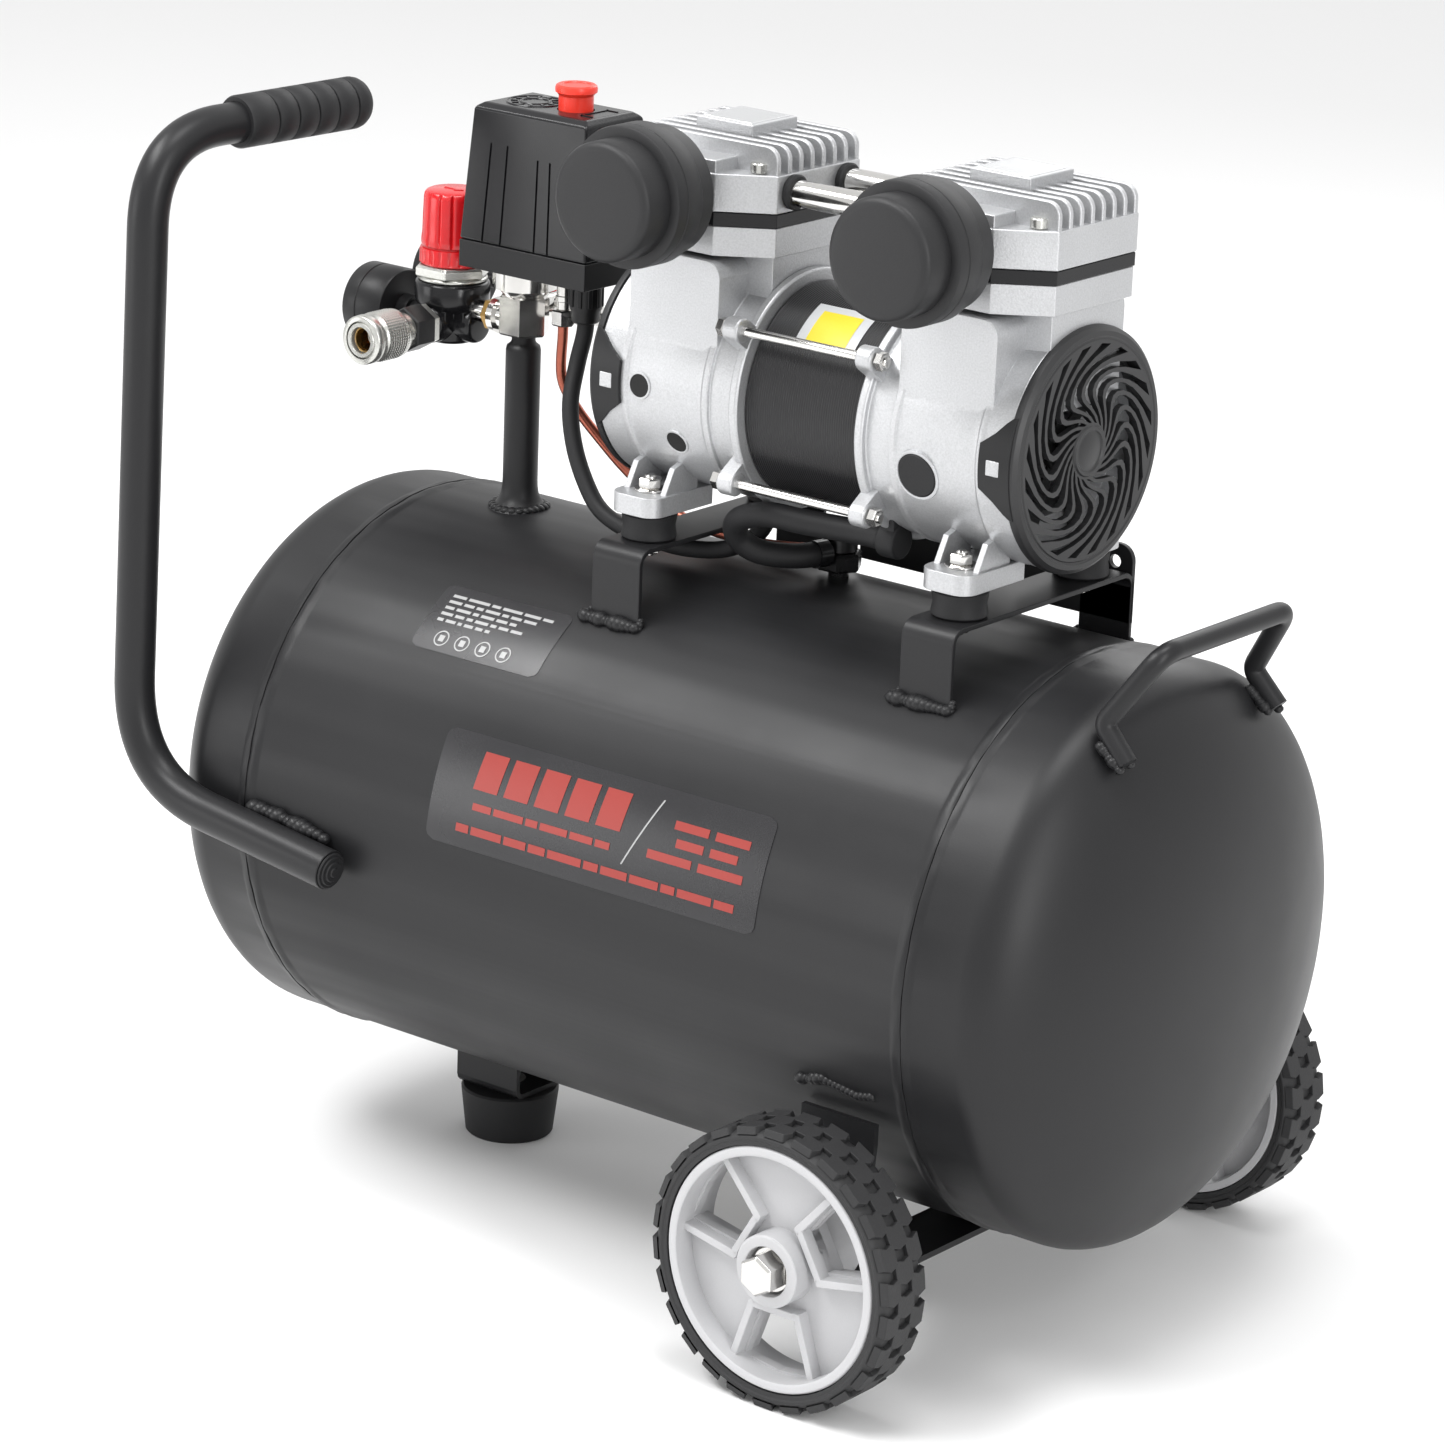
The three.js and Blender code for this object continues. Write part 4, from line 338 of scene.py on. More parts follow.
def around(shape, count, centre, axis="Z", start=0.0):
    """Copies of a shape made at the origin, spaced round a centre."""
    turns = [Matrix.Rotation(start + 2 * math.pi * i / count, 3, axis) for i in range(count)]
    return [moved(shape, centre, turn) for turn in turns]


def sweep(points, radius, n=16):
    """A round bar with closed ends, along points."""
    points = [Vector(p) for p in points]
    tangents = []
    for i in range(len(points)):
        a = points[max(0, i - 1)]
        b = points[min(len(points) - 1, i + 1)]
        tangents.append((b - a).normalized())
    side = tangents[0].orthogonal().normalized()
    verts, rings = [], []
    for point, tangent in zip(points, tangents):
        side = (side - tangent * side.dot(tangent)).normalized()
        other = tangent.cross(side)
        ring = []
        for i in range(n):
            angle = 2 * math.pi * i / n
            ring.append(len(verts))
            verts.append(point + (side * math.cos(angle) + other * math.sin(angle)) * radius)
        rings.append(ring)
    faces = []
    for a, b in zip(rings, rings[1:]):
        faces += [(a[i], a[(i + 1) % n], b[(i + 1) % n], b[i]) for i in range(n)]
    faces += [rings[0][::-1], rings[-1]]
    return verts, faces


def bent(corners, bends, steps):
    """Points along straight runs joined by parabolic bends."""
    corners = [Vector(c) for c in corners]
    points = [corners[0]]
    for i in range(1, len(corners) - 1):
        back = (corners[i - 1] - corners[i]).normalized()
        on = (corners[i + 1] - corners[i]).normalized()
        reach = bends[i - 1] / math.tan(back.angle(on) / 2)
        entry = corners[i] + back * reach
        leave = corners[i] + on * reach
        for k in range(steps + 1):
            t = k / steps
            points.append(entry * (1 - t) ** 2 + corners[i] * 2 * t * (1 - t) + leave * t ** 2)
    points.append(corners[-1])
    return points


def flowing(points, steps):
    """A smooth curve through points."""
    points = [Vector(p) for p in points]
    padded = [points[0] * 2 - points[1]] + points + [points[-1] * 2 - points[-2]]
    result = []
    for i in range(1, len(padded) - 2):
        a, b, c, d = padded[i - 1:i + 3]
        for k in range(steps):
            t = k / steps
            result.append(0.5 * ((2 * b) + (c - a) * t + (2 * a - 5 * b + 4 * c - d) * t * t
                                 + (3 * b - a - 3 * c + d) * t ** 3))
    result.append(points[-1])
    return result


def ball(centre, radius, squash=(1, 1, 1), n=16):
    profile = []
    for i in range(n // 2 + 1):
        angle = math.pi * i / (n // 2)
        profile.append((-radius * math.cos(angle), radius * math.sin(angle)))
    profile[0] = (-radius, 0)
    profile[-1] = (radius, 0)
    verts, faces = lathe(profile, "Z", ORIGIN, n)
    centre = Vector(centre)
    return [centre + Vector((v.x * squash[0], v.y * squash[1], v.z * squash[2])) for v in verts], faces


def filled(name, shapes, limit):
    """A mesh of all the shapes, in metres, its edges sharp from an angle on."""
    mesh = bpy.data.meshes.new(name)
    work = bmesh.new()
    for verts, faces in shapes:
        made = [work.verts.new(Vector(v) * MM) for v in verts]
        for face in faces:
            work.faces.new([made[i] for i in face])
    bmesh.ops.recalc_face_normals(work, faces=work.faces)
    for face in work.faces:
        face.smooth = True
    crisp(work, limit)
    work.to_mesh(mesh)
    work.free()
    return mesh


def crisp(work, limit):
    for edge in work.edges:
        edge.smooth = len(edge.link_faces) == 2 and edge.calc_face_angle(0) < limit


def soften(part, width, limit, segments=2):
    modifier = part.modifiers.new("edges", "BEVEL")
    modifier.width = width * MM
    modifier.segments = segments
    modifier.limit_method = "ANGLE"
    modifier.angle_limit = limit
    return modifier


def piece(name, look, body, shapes, nodes=(), bevel=0.0, sharp=32.0, segments=2):
    """Builds one object out of shapes, finishes its edges and ties it to its body and CAD nodes."""
    limit = math.radians(sharp)
    mesh = filled(name, shapes, limit)
    mesh.materials.append(LOOKS[look])
    made_object = bpy.data.objects.new(name, mesh)
    bpy.context.scene.collection.objects.link(made_object)
    if bevel > 0:
        soften(made_object, bevel, limit, segments).harden_normals = True
    if nodes:
        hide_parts(*nodes)
    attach(made_object, body)
    return made_object


def cut_out(target, tools):
    """Cuts closed shapes out of a finished piece."""
    cutter_mesh = filled("cutter", tools, 0.0)
    for face in cutter_mesh.polygons:
        face.use_smooth = False
    cutter = bpy.data.objects.new("cutter", cutter_mesh)
    bpy.context.scene.collection.objects.link(cutter)
    modifier = target.modifiers.new("cut", "BOOLEAN")
    modifier.operation = "DIFFERENCE"
    modifier.solver = "EXACT"
    modifier.use_self = True
    modifier.object = cutter
    bpy.context.view_layer.update()
    depsgraph = bpy.context.evaluated_depsgraph_get()
    result = bpy.data.meshes.new_from_object(target.evaluated_get(depsgraph))
    target.modifiers.clear()
    target.data = result
    bpy.data.objects.remove(cutter)
    bpy.data.meshes.remove(cutter_mesh)


def dress(node, look, bevel):
    """Keeps a CAD node and gives it a finish and softened edges."""
    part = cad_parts[node]
    part.data.materials.clear()
    part.data.materials.append(LOOKS[look])
    if bevel > 0:
        soften(part, bevel, math.radians(30))


make_camera()
make_stage()
make_lights()


# ---------------------------------------------------------------- tank

ROOT = "compressor"
TANK = middle("tank_barrel")
TANK_RADIUS = (high("tank_barrel").z - low("tank_barrel").z) / 2 - 1
SEAM_X = high("tank_barrel").x
TANK_END = high("tank_head_right").x
HEAD_STRAIGHT = 29.0
PUMP = middle("stator")
PER_DEGREE = TANK_RADIUS * math.pi / 180
FILM_LIFT = 0.25
INK_LIFT = 0.45
BRACKET_TOP = 348.0
BRACKET_HALF = 72


def on_tank(x, degrees, lift=0.0):
    """A point on the -Y side of the tank at an angle above the horizontal."""
    angle = math.radians(degrees)
    radius = TANK_RADIUS + lift
    return Vector((x, -radius * math.cos(angle), TANK.z + radius * math.sin(angle)))


def uneven(angle, along, radius):
    """The seam weld's height wanders a little along its run."""
    if radius < TANK_RADIUS + 0.25:
        return radius
    wander = 0.20 * math.sin(23 * angle + along) + 0.14 * math.sin(61 * angle + 2)
    return min(radius + wander, TANK_RADIUS + 1.0)


def make_tank():
    bead = [(SEAM_X - 7, 0), (SEAM_X - 5.4, 0.35), (SEAM_X - 3.8, 0.85), (SEAM_X - 2.2, 0.95),
            (SEAM_X - 0.9, 0.9), (SEAM_X - 0.2, 0.6)]
    right = [(x, TANK_RADIUS + rise) for x, rise in bead]
    left = [(-x, r) for x, r in reversed(right)]
    inner = [(SEAM_X - 0.2, TANK_RADIUS - 2), (0.2 - SEAM_X, TANK_RADIUS - 2)]
    profile = left + right + inner
    piece("tank_shell", "tank", ROOT, [lathe(profile + [profile[0]], "X", TANK, 240, uneven)],
          ["tank_barrel"])
    for name, side in SIDES:
        depth = TANK_END - SEAM_X - HEAD_STRAIGHT
        outline = [(TANK_END, 0)]
        for i in range(1, 25):
            angle = i * math.pi / 48
            outline.append((SEAM_X + HEAD_STRAIGHT + depth * math.cos(angle),
                            TANK_RADIUS * math.sin(angle)))
        outline += [(SEAM_X + out, TANK_RADIUS + rise) for out, rise in
                    ((5.5, 0), (4.2, 0.3), (2.6, 0.8), (0.4, 0.9), (0.1, 0.3), (0.2, -3), (10, -6))]
        outline.append((SEAM_X + 10, 0))
        shape = lathe([(side * x, r) for x, r in outline], "X", TANK, 240, uneven)
        piece("dished_end_" + name, "tank", ROOT, [shape], ["tank_head_" + name])


def weld(points, radius, seed=1):
    """An uneven bead along points: overlapping flattened drops."""
    points = [Vector(p) for p in points]
    shapes = []
    total = 0.0
    for a, b in zip(points, points[1:]):
        count = max(1, int((b - a).length / (radius * 0.75)))
        for i in range(count):
            swing = math.sin(12.9898 * (total + i + seed) ** 1.1) * 0.22
            shapes.append(ball(a.lerp(b, i / count), radius * (1 + swing), (1, 1, 0.85), 10))
        total += count
    return shapes


def label(name, x0, x1, a0, a1, corner, rows):
    """A film on the tank with rounded corners, between two heights in degrees."""
    height = (a1 - a0) * PER_DEGREE
    verts = []
    for i in range(rows + 1):
        run = height * i / rows
        edge = min(run, height - run)
        inset = 0.0
        if edge < corner:
            inset = corner - math.sqrt(max(0.0, corner ** 2 - (corner - edge) ** 2))
        for j in range(2):
            x = x0 + inset if j == 0 else x1 - inset
            verts.append(on_tank(x, a0 + run / PER_DEGREE, FILM_LIFT))
    piece(name, "print_dark", ROOT, [strip(verts)])


def bars(name, look, x0, x1, a0, a1, count, lean=0.0):
    """Plain bars of uneven length that stand for printing; lean slants their ends."""
    shares = [1.0 + 0.45 * math.sin(2.4 * i + count) if count > 5 else 1.0 for i in range(count)]
    gap = 1.6 if count > 5 else 4.0
    unit = (x1 - x0 - gap * (count - 1)) / sum(shares)
    steps = [i / 8 for i in range(9)]
    shapes = []
    left = x0
    for share in shares:
        width = unit * share
        verts = []
        for step in steps:
            angle = a0 + (a1 - a0) * step
            verts.append(on_tank(left + lean * step, angle, INK_LIFT))
            verts.append(on_tank(left + width + lean * step, angle, INK_LIFT))
        shapes.append(strip(verts))
        left += width + gap
    piece(name, look, ROOT, shapes)


def make_labels():
    label("side_label", -84, 115, 6.5, 29, 5, 30)
    bars("side_label_block", "print_red", -60, 30, 18.4, 26.0, 5, 2.0)
    bars("side_label_line_a", "print_red", -58, 26, 14.4, 15.8, 6)
    bars("side_label_line_b", "print_red", -66, 102, 9.6, 11.2, 11)
    bars("side_label_slash", "print_pale", 34, 34.9, 12.6, 26.5, 1, 16.0)
    for row, (x0, x1) in enumerate(((60, 104), (63, 99), (48, 104))):
        drop = 3.3 * row
        bars("side_label_note_%d" % row, "print_red", x0, x1, 21.8 - drop, 23.5 - drop, 2)
    label("top_label", -128, -49, 42.4, 58, 4, 22)
    for row, end in enumerate((-58, -66, -76, -70, -88)):
        drop = 1.5 * row
        bars("top_label_line_%d" % row, "print_pale", -121, end, 55.0 - drop, 55.7 - drop, 6 + row % 2)
    rings = []
    for i in range(4):
        x, height = -112 + 13 * i, 45.4
        verts = []
        for k in range(25):
            angle = 2 * math.pi * k / 24
            for radius in (4.3, 3.6):
                verts.append(on_tank(x + radius * math.cos(angle),
                                     height + radius * math.sin(angle) / PER_DEGREE, INK_LIFT))
        rings.append(strip(verts))
        rings.append(strip([on_tank(x + dx, height + dy, INK_LIFT)
                            for dy in (-0.7, 0.7) for dx in (-1.6, 1.6)]))
    piece("top_label_rings", "print_pale", ROOT, rings)


def make_handles():
    tube_radius, grip_radius = 10, 13.0
    side_y = low("carry_handle").y + tube_radius
    corners = [(-134, side_y, 180), (-267, side_y, 197), (-256, side_y, 519), (-250, -13, 519)]
    piece("carry_tube", "tank", ROOT, [sweep(bent(corners, (58, 45), 24), tube_radius, 32)],
          ["carry_handle"], bevel=0.6)
    start = Vector(corners[0])
    run = (start - Vector(corners[1])).normalized()
    across = Vector((0, 1, 0))
    up = run.cross(across)
    plug = []
    turn = Matrix((across, up, run)).transposed()
    for radius, depth in ((9.2, 1.2), (7.4, 2.0), (5.2, 2.8), (2.6, 3.4)):
        plug.append(moved(disc(radius, 0, depth, "Z", ORIGIN, 32, 0.5), start, turn))
    piece("carry_tube_plug", "rubber", ROOT, plug)

    def beside(x, inward, rise):
        return Vector((x, side_y + inward, start.z + (x - start.x) * run.z / run.x + rise))

    upper = [beside(x, 8.5, rise) for x, rise in ((-192, 9), (-180, 10), (-165, 10), (-150, 10), (-142, 9))]
    lower = [beside(x, 9.0, -7.5) for x in (-192, -170, -150)]
    piece("carry_tube_weld", "tank", ROOT, weld(upper, 4.2) + weld(lower, 3.2), sharp=80)

    end = Vector((-250, -9, 519))
    back = (Vector(corners[2]) - end).normalized()
    length = 86
    profile = [(0, 0), (0.0, 5.0), (0.6, 7.6), (1.8, 9.6), (3.6, 11.3), (5.8, 12.5), (8.0, grip_radius)]
    first, pitch = 14, 13.6
    groove = ((-0.9, 0), (-0.5, 0.4), (-0.3, 1.4), (0.3, 1.4), (0.5, 0.4), (0.9, 0))
    for i in range(5):
        profile += [(first + i * pitch + along, grip_radius - depth) for along, depth in groove]
    profile += [(length - 1.5, grip_radius), (length, 12.2), (length, tube_radius + 0.1)]
    turn = back.to_track_quat("Z", "Y").to_matrix()
    piece("carry_grip", "rubber", ROOT, [moved(lathe(profile, "Z", ORIGIN, 64), end, turn)],
          ["handle_grip"], sharp=60)

    lift = [(260, -61, 303.5), (245.5, -60, 319), (268, -50, 354)]
    lift += [(x, -y, z) for x, y, z in reversed(lift)]
    piece("lift_bar", "tank", ROOT, [sweep(bent(lift, (6, 12, 12, 6), 12), 5, 24)], ["lift_handle"],
          bevel=0.5)
    beads = []
    for side in (-1, 1):
        foot = Vector((257, side * 60.5, 306))
        for y, end_z, radius in ((-4.5, -5.5, 3.0), (4.0, -6, 2.8)):
            beads += weld([foot + Vector((-9, side * y, 4)), foot + Vector((3, side * y, end_z))], radius)
    piece("lift_bar_weld", "tank", ROOT, beads, sharp=80)


def u_plate(centre_x, width, half, top, foot, thickness, bend):
    """A plate bent to an upside-down U across the tank."""
    inner = bend - thickness
    points = [(-half, foot)] + arc(bend - half, top - bend, bend, 180, 90)
    points += arc(half - bend, top - bend, bend, 90, 0) + [(half, foot), (half - thickness, foot)]
    points += arc(half - bend, top - bend, inner, 0, 90)
    points += arc(bend - half, top - bend, inner, 90, 180) + [(thickness - half, foot)]
    return prism(points, centre_x - width / 2, centre_x + width / 2, "X")


def make_brackets():
    for name, side in SIDES:
        node = "pump_bracket_" + name
        centre = middle("rubber_mount_%s_front" % name).x
        width = 29.0
        foot = TANK.z + math.sqrt(TANK_RADIUS ** 2 - BRACKET_HALF ** 2) - 1.5
        shapes = [u_plate(centre, width, BRACKET_HALF, BRACKET_TOP, foot, 2.5, 8)]
        beads = []
        for end in (-1, 1):
            y = end * BRACKET_HALF
            left = Vector((centre - width / 2 - 2, y + end, foot + 2))
            right = Vector((centre + width / 2 + 2, y + end, foot + 2))
            beads += weld([left, right], 4.0, 3 + side)
            for edge in (-1, 1):
                x = centre + edge * (width / 2 + 0.5)
                beads += weld([Vector((x, y, foot + 2)), Vector((x, y - end * 2, foot + 7))], 2.0)
        piece("pump_bracket_plate_" + name, "tank", ROOT, shapes, [node], bevel=0.5)
        piece("pump_bracket_weld_" + name, "tank", ROOT, beads, sharp=80)
        if side > 0:
            far = high(node).x
            start = low(node).x
            outline = [(start, 322), (far, 322)] + arc(far - 8, 352, 8, 0, 90)
            outline += [(far - 20, 360), (far - 24, 352), (start + 8, 352), (start, 344)]
            plate = piece("rear_plate", "tank", ROOT, [prism(outline, 69.5, 72.2, "Y")], bevel=0.4)
            cut_out(plate, [disc(3.2, 60, 80, "Y", (far - 10, 0, 351), 24)])
    waist = [(0.3, 0), (0.3, 12.6), (1.2, 13.3), (3, 13.1), (6.5, 12.5), (10, 13.1), (11.8, 13.3),
             (12.7, 12.6), (12.7, 0)]
    nuts = []
    for corner in ("left_front", "left_rear", "right_front", "right_rear"):
        node = "rubber_mount_" + corner
        centre = middle(node)
        centre.z = BRACKET_TOP
        piece("bobbin_" + corner, "rubber", ROOT, [lathe(waist, "Z", centre, 48)], [node])
        nuts.append(disc(8, 23.0, 24.2, "Z", centre, 32, 0.3))
        nuts += [disc(2.9, a, b, "Z", centre, 20, 0.6) for a, b in ((12, 30.5), (-9, 1))]
        nuts += [hexagon(10, a, b, "Z", centre) for a, b in ((24.2, 29.2), (-7.6, -2.8))]
    piece("mount_nuts", "chrome", ROOT, nuts)


def make_foot():
    foot = middle("rubber_foot")
    profile = [(0, 0), (0, 16), (0.8, 17), (0.8, 20.5), (0, 21.4), (1.0, 22.4), (22.5, 24.9), (24, 25),
               (25, 24), (25, 0)]
    piece("foot_pad", "rubber", ROOT, [lathe(profile, "Z", (foot.x, foot.y, 0), 72)], ["rubber_foot"])
    piece("foot_screw", "zinc", ROOT, [hexagon(10, 27.9, 32.5, "Z", (foot.x, 0, 0)),
                                       disc(8, 27.7, 28.4, "Z", (foot.x, 0, 0), 24, 0.2)])
    beads = []
    z = TANK.z - math.sqrt(TANK_RADIUS ** 2 - 18.5 ** 2)
    for y in (-19, 19):
        beads += weld([Vector((foot.x - 17, y, z)), Vector((foot.x + 17, y, z))], 2.8)
    piece("foot_weld", "tank", ROOT, beads, sharp=80)
    drain = [(-14, 0), (-14, 6.4), (-13.4, 7), (-6, 7), (-5.4, 6.3), (-4.6, 6.3), (-4, 7), (-1, 7), (-1, 4),
             (4, 4), (4, 0)]
    base = TANK.z - TANK_RADIUS
    piece("drain_tap", "brass", "drain_valve",
          [lathe(drain, "Z", (0, 0, base), 40), block((-12, -1.5, base - 20), (12, 1.5, base - 11))],
          ["drain_valve"], bevel=0.5)


def make_bracket_weld():
    start, end = low("wheel_bracket"), high("wheel_bracket")
    z = TANK.z - math.sqrt(TANK_RADIUS ** 2 - end.y ** 2) + 1.5
    beads = []
    for side in (-1, 1):
        run = ((start.x, 0), (start.x + 12, 3), (end.x - 10, 0), (end.x, 2))
        beads += weld([Vector((x, side * (end.y + 0.5), z + rise)) for x, rise in run], 3.2, 5)
    piece("wheel_bracket_weld", "tank", ROOT, beads, sharp=80)


make_tank()
make_labels()
make_handles()
make_brackets()
make_foot()
dress("foot_bracket", "tank", 0.6)
dress("wheel_bracket", "tank", 0.6)
make_bracket_weld()


# ---------------------------------------------------------------- wheels

def make_wheel(name, side):
    """Profiles are for the front wheel, with its outer face towards -Y; side -1 mirrors them."""
    body = "wheel_" + name
    hub = middle("tyre_" + name)
    size = high("tyre_" + name) - low("tyre_" + name)
    half, radius = size.y / 2, size.z / 2
    centre = (hub.x, hub.y, radius)

    def out(profile):
        return [(side * along, r) for along, r in profile]

    wall = ((0.6, 58.8), (0.6, 61), (0, 61.6), (0, 63), (1.4, 64.4), (4, 65.4))
    carcass = [(inward - half, r) for inward, r in wall]
    carcass += [(half - inward, r) for inward, r in reversed(wall)] + carcass[:1]
    shapes = [lathe(out(carcass), "Y", centre, 120)]
    count = 26
    pitch = 2 * math.pi / count
    span = pitch * 0.36
    block_foot = 64.3
    rows = ((-half + 0.1, -half + 11.0), (-6.2, 6.2), (half - 11.0, half - 0.1))
    for i in range(count):
        for row, (a, b) in enumerate(rows):
            angle = pitch * (i + 0.5 * (row == 1))
            outline = [(-span, a), (span, a), (span * 1.35, (a + b) / 2), (span, b), (-span, b),
                       (-span * 0.65, (a + b) / 2)]
            verts = []
            for r in (block_foot, radius):
                ease = 1.0 if r < radius else 0.92
                for dphi, y in outline:
                    phi = angle + dphi * ease
                    edge = y
                    if r == radius and abs(y) > half - 1:
                        edge = math.copysign(half - 1.1, y)
                    verts.append(Vector((centre[0] + r * math.sin(phi), centre[1] + edge,
                                         centre[2] + r * math.cos(phi))))
            n = len(outline)
            faces = [list(range(n, 2 * n))] + [(k, (k + 1) % n, n + (k + 1) % n, n + k) for k in range(n)]
            shapes.append((verts, faces))
    piece("tread_" + name, "tyre", body, shapes, ["tyre_" + name], bevel=0.35, segments=1)

    rim_half = half - 0.8
    lip = [(-rim_half, 53.6), (-rim_half - 0.4, 55), (-rim_half - 0.2, 57.6), (-rim_half + 1, 58.4),
           (rim_half, 58.4), (rim_half, 54.4), (2.5, 53.8), (-6, 53.2), (-rim_half, 53.6)]
    ring = [lathe(out(lip), "Y", centre, 120)]
    web = disc(56, -2.5, 2.5, "Y", centre, 96)
    ribs = []
    window = prism([(23, -10), (50, -20), (52.6, 0), (50, 20), (23, 10)], -20, 20, "Y")
    walls = [prism([(19, edge * 10.2), (51, edge * 21.2), (51, edge * 25.0), (19, edge * 14.2)], -9, 9, "Y")
             for edge in (-1, 1)]
    walls.append(block((19.4, -9, -12), (23.0, 9, 12)))
    for wall in walls:
        ribs += around(wall, 3, centre, "Y", math.pi / 2)
    cut_out(piece("web_" + name, "rim", body, [web]), around(window, 3, centre, "Y", math.pi / 2))
    inner = abs(hub.y) - 131.6
    hub_ring = [(-16, 11.9), (-16, 16.6), (-15.3, 17.3), (inner, 17.3), (inner, 5.6), (-9.4, 5.6),
                (-9.4, 11.9), (-16, 11.9)]
    piece("rim_" + name, "rim", body, ring + ribs + [lathe(out(hub_ring), "Y", centre, 64)],
          ["wheel_rim_" + name], bevel=0.7)

    bolt = [hexagon(17, -24.2, -11.5, "Y", ORIGIN, 1.2),
            disc(11, -12.3, -10.4, "Y", ORIGIN, 48, 0.5),
            disc(5, -12, 47, "Y", ORIGIN, 32, 0.8),
            hexagon(17, 36.6, 44.2, "Y", ORIGIN, 1.0),
            disc(10.5, 34.8, 36.4, "Y", ORIGIN, 40, 0.3)]
    turn = None if side > 0 else Matrix.Rotation(math.pi, 3, "Z")
    piece("bolt_" + name, "chrome", ROOT, [moved(s, centre, turn) for s in bolt], ["axle_bolt_" + name],
          bevel=0.25)


for wheel_name, wheel_side in (("front", 1), ("rear", -1)):
    make_wheel(wheel_name, wheel_side)


# ---------------------------------------------------------------- motor and pumps

CYLINDER = middle("air_filter_right").x - PUMP.x
ROD_Y = middle("tie_rod_top_rear").y
ROD_Z = (high("tie_rod_top_rear").z + low("tie_rod_top_rear").z) / 2 - PUMP.z


def make_motor():
    core = [(-33.7, 30), (-33.7, 51.2), (-32.9, 52), (32.9, 52), (33.7, 51.2), (33.7, 30), (-33.7, 30)]
    piece("stator_core", "core", ROOT, [lathe(core, "X", PUMP, 120)], ["stator"])
    films = (("plate", "print_white", 17, 15, 52.25), ("square", "patch", 11.5, 10, 52.4))
    for tag, look, half_x, span, lift in films:
        verts = []
        for i in range(13):
            angle = math.radians(51 + span * (i / 6 - 1))
            for x in (-half_x, half_x):
                verts.append(PUMP + Vector((x + 2, -lift * math.cos(angle), lift * math.sin(angle))))
        piece("motor_patch_" + tag, look, ROOT, [strip(verts)])
    for y, z in ((-1, 1), (-1, -1), (1, 1), (1, -1)):
        name = "tie_rod_%s_%s" % ("top" if z > 0 else "bottom", "front" if y < 0 else "rear")
        centre = (PUMP.x, y * ROD_Y, PUMP.z + z * ROD_Z)
        shapes = [disc(2.4, -49, 49, "X", centre, 24, 0.5),
                  hexagon(8, -48, -43.6, "X", centre, 0.6), hexagon(8, 43.6, 48, "X", centre, 0.6)]
        piece("clamp_" + name, "chrome", ROOT, shapes, [name])


def plan(inset):
    """The outline of a cylinder head from above, drawn in by an inset."""
    a, b, c, d = 44 - inset, 31 - inset, 19.5, 48 - inset
    corners = [(a, b), (c, d), (-c, d), (-a, b), (-a, -b), (-c, -d), (c, -d), (a, -b)]
    return [(x + CYLINDER, y) for x, y in corners]


def on_case(shape, x, lean):
    """Sets a shape, made upright over the motor's axis, out on the -Y side and lean degrees below level."""
    turn = Matrix.Rotation(math.radians(90 + lean), 3, "X")
    return moved(shape, (PUMP.x + x, PUMP.y, PUMP.z), turn)


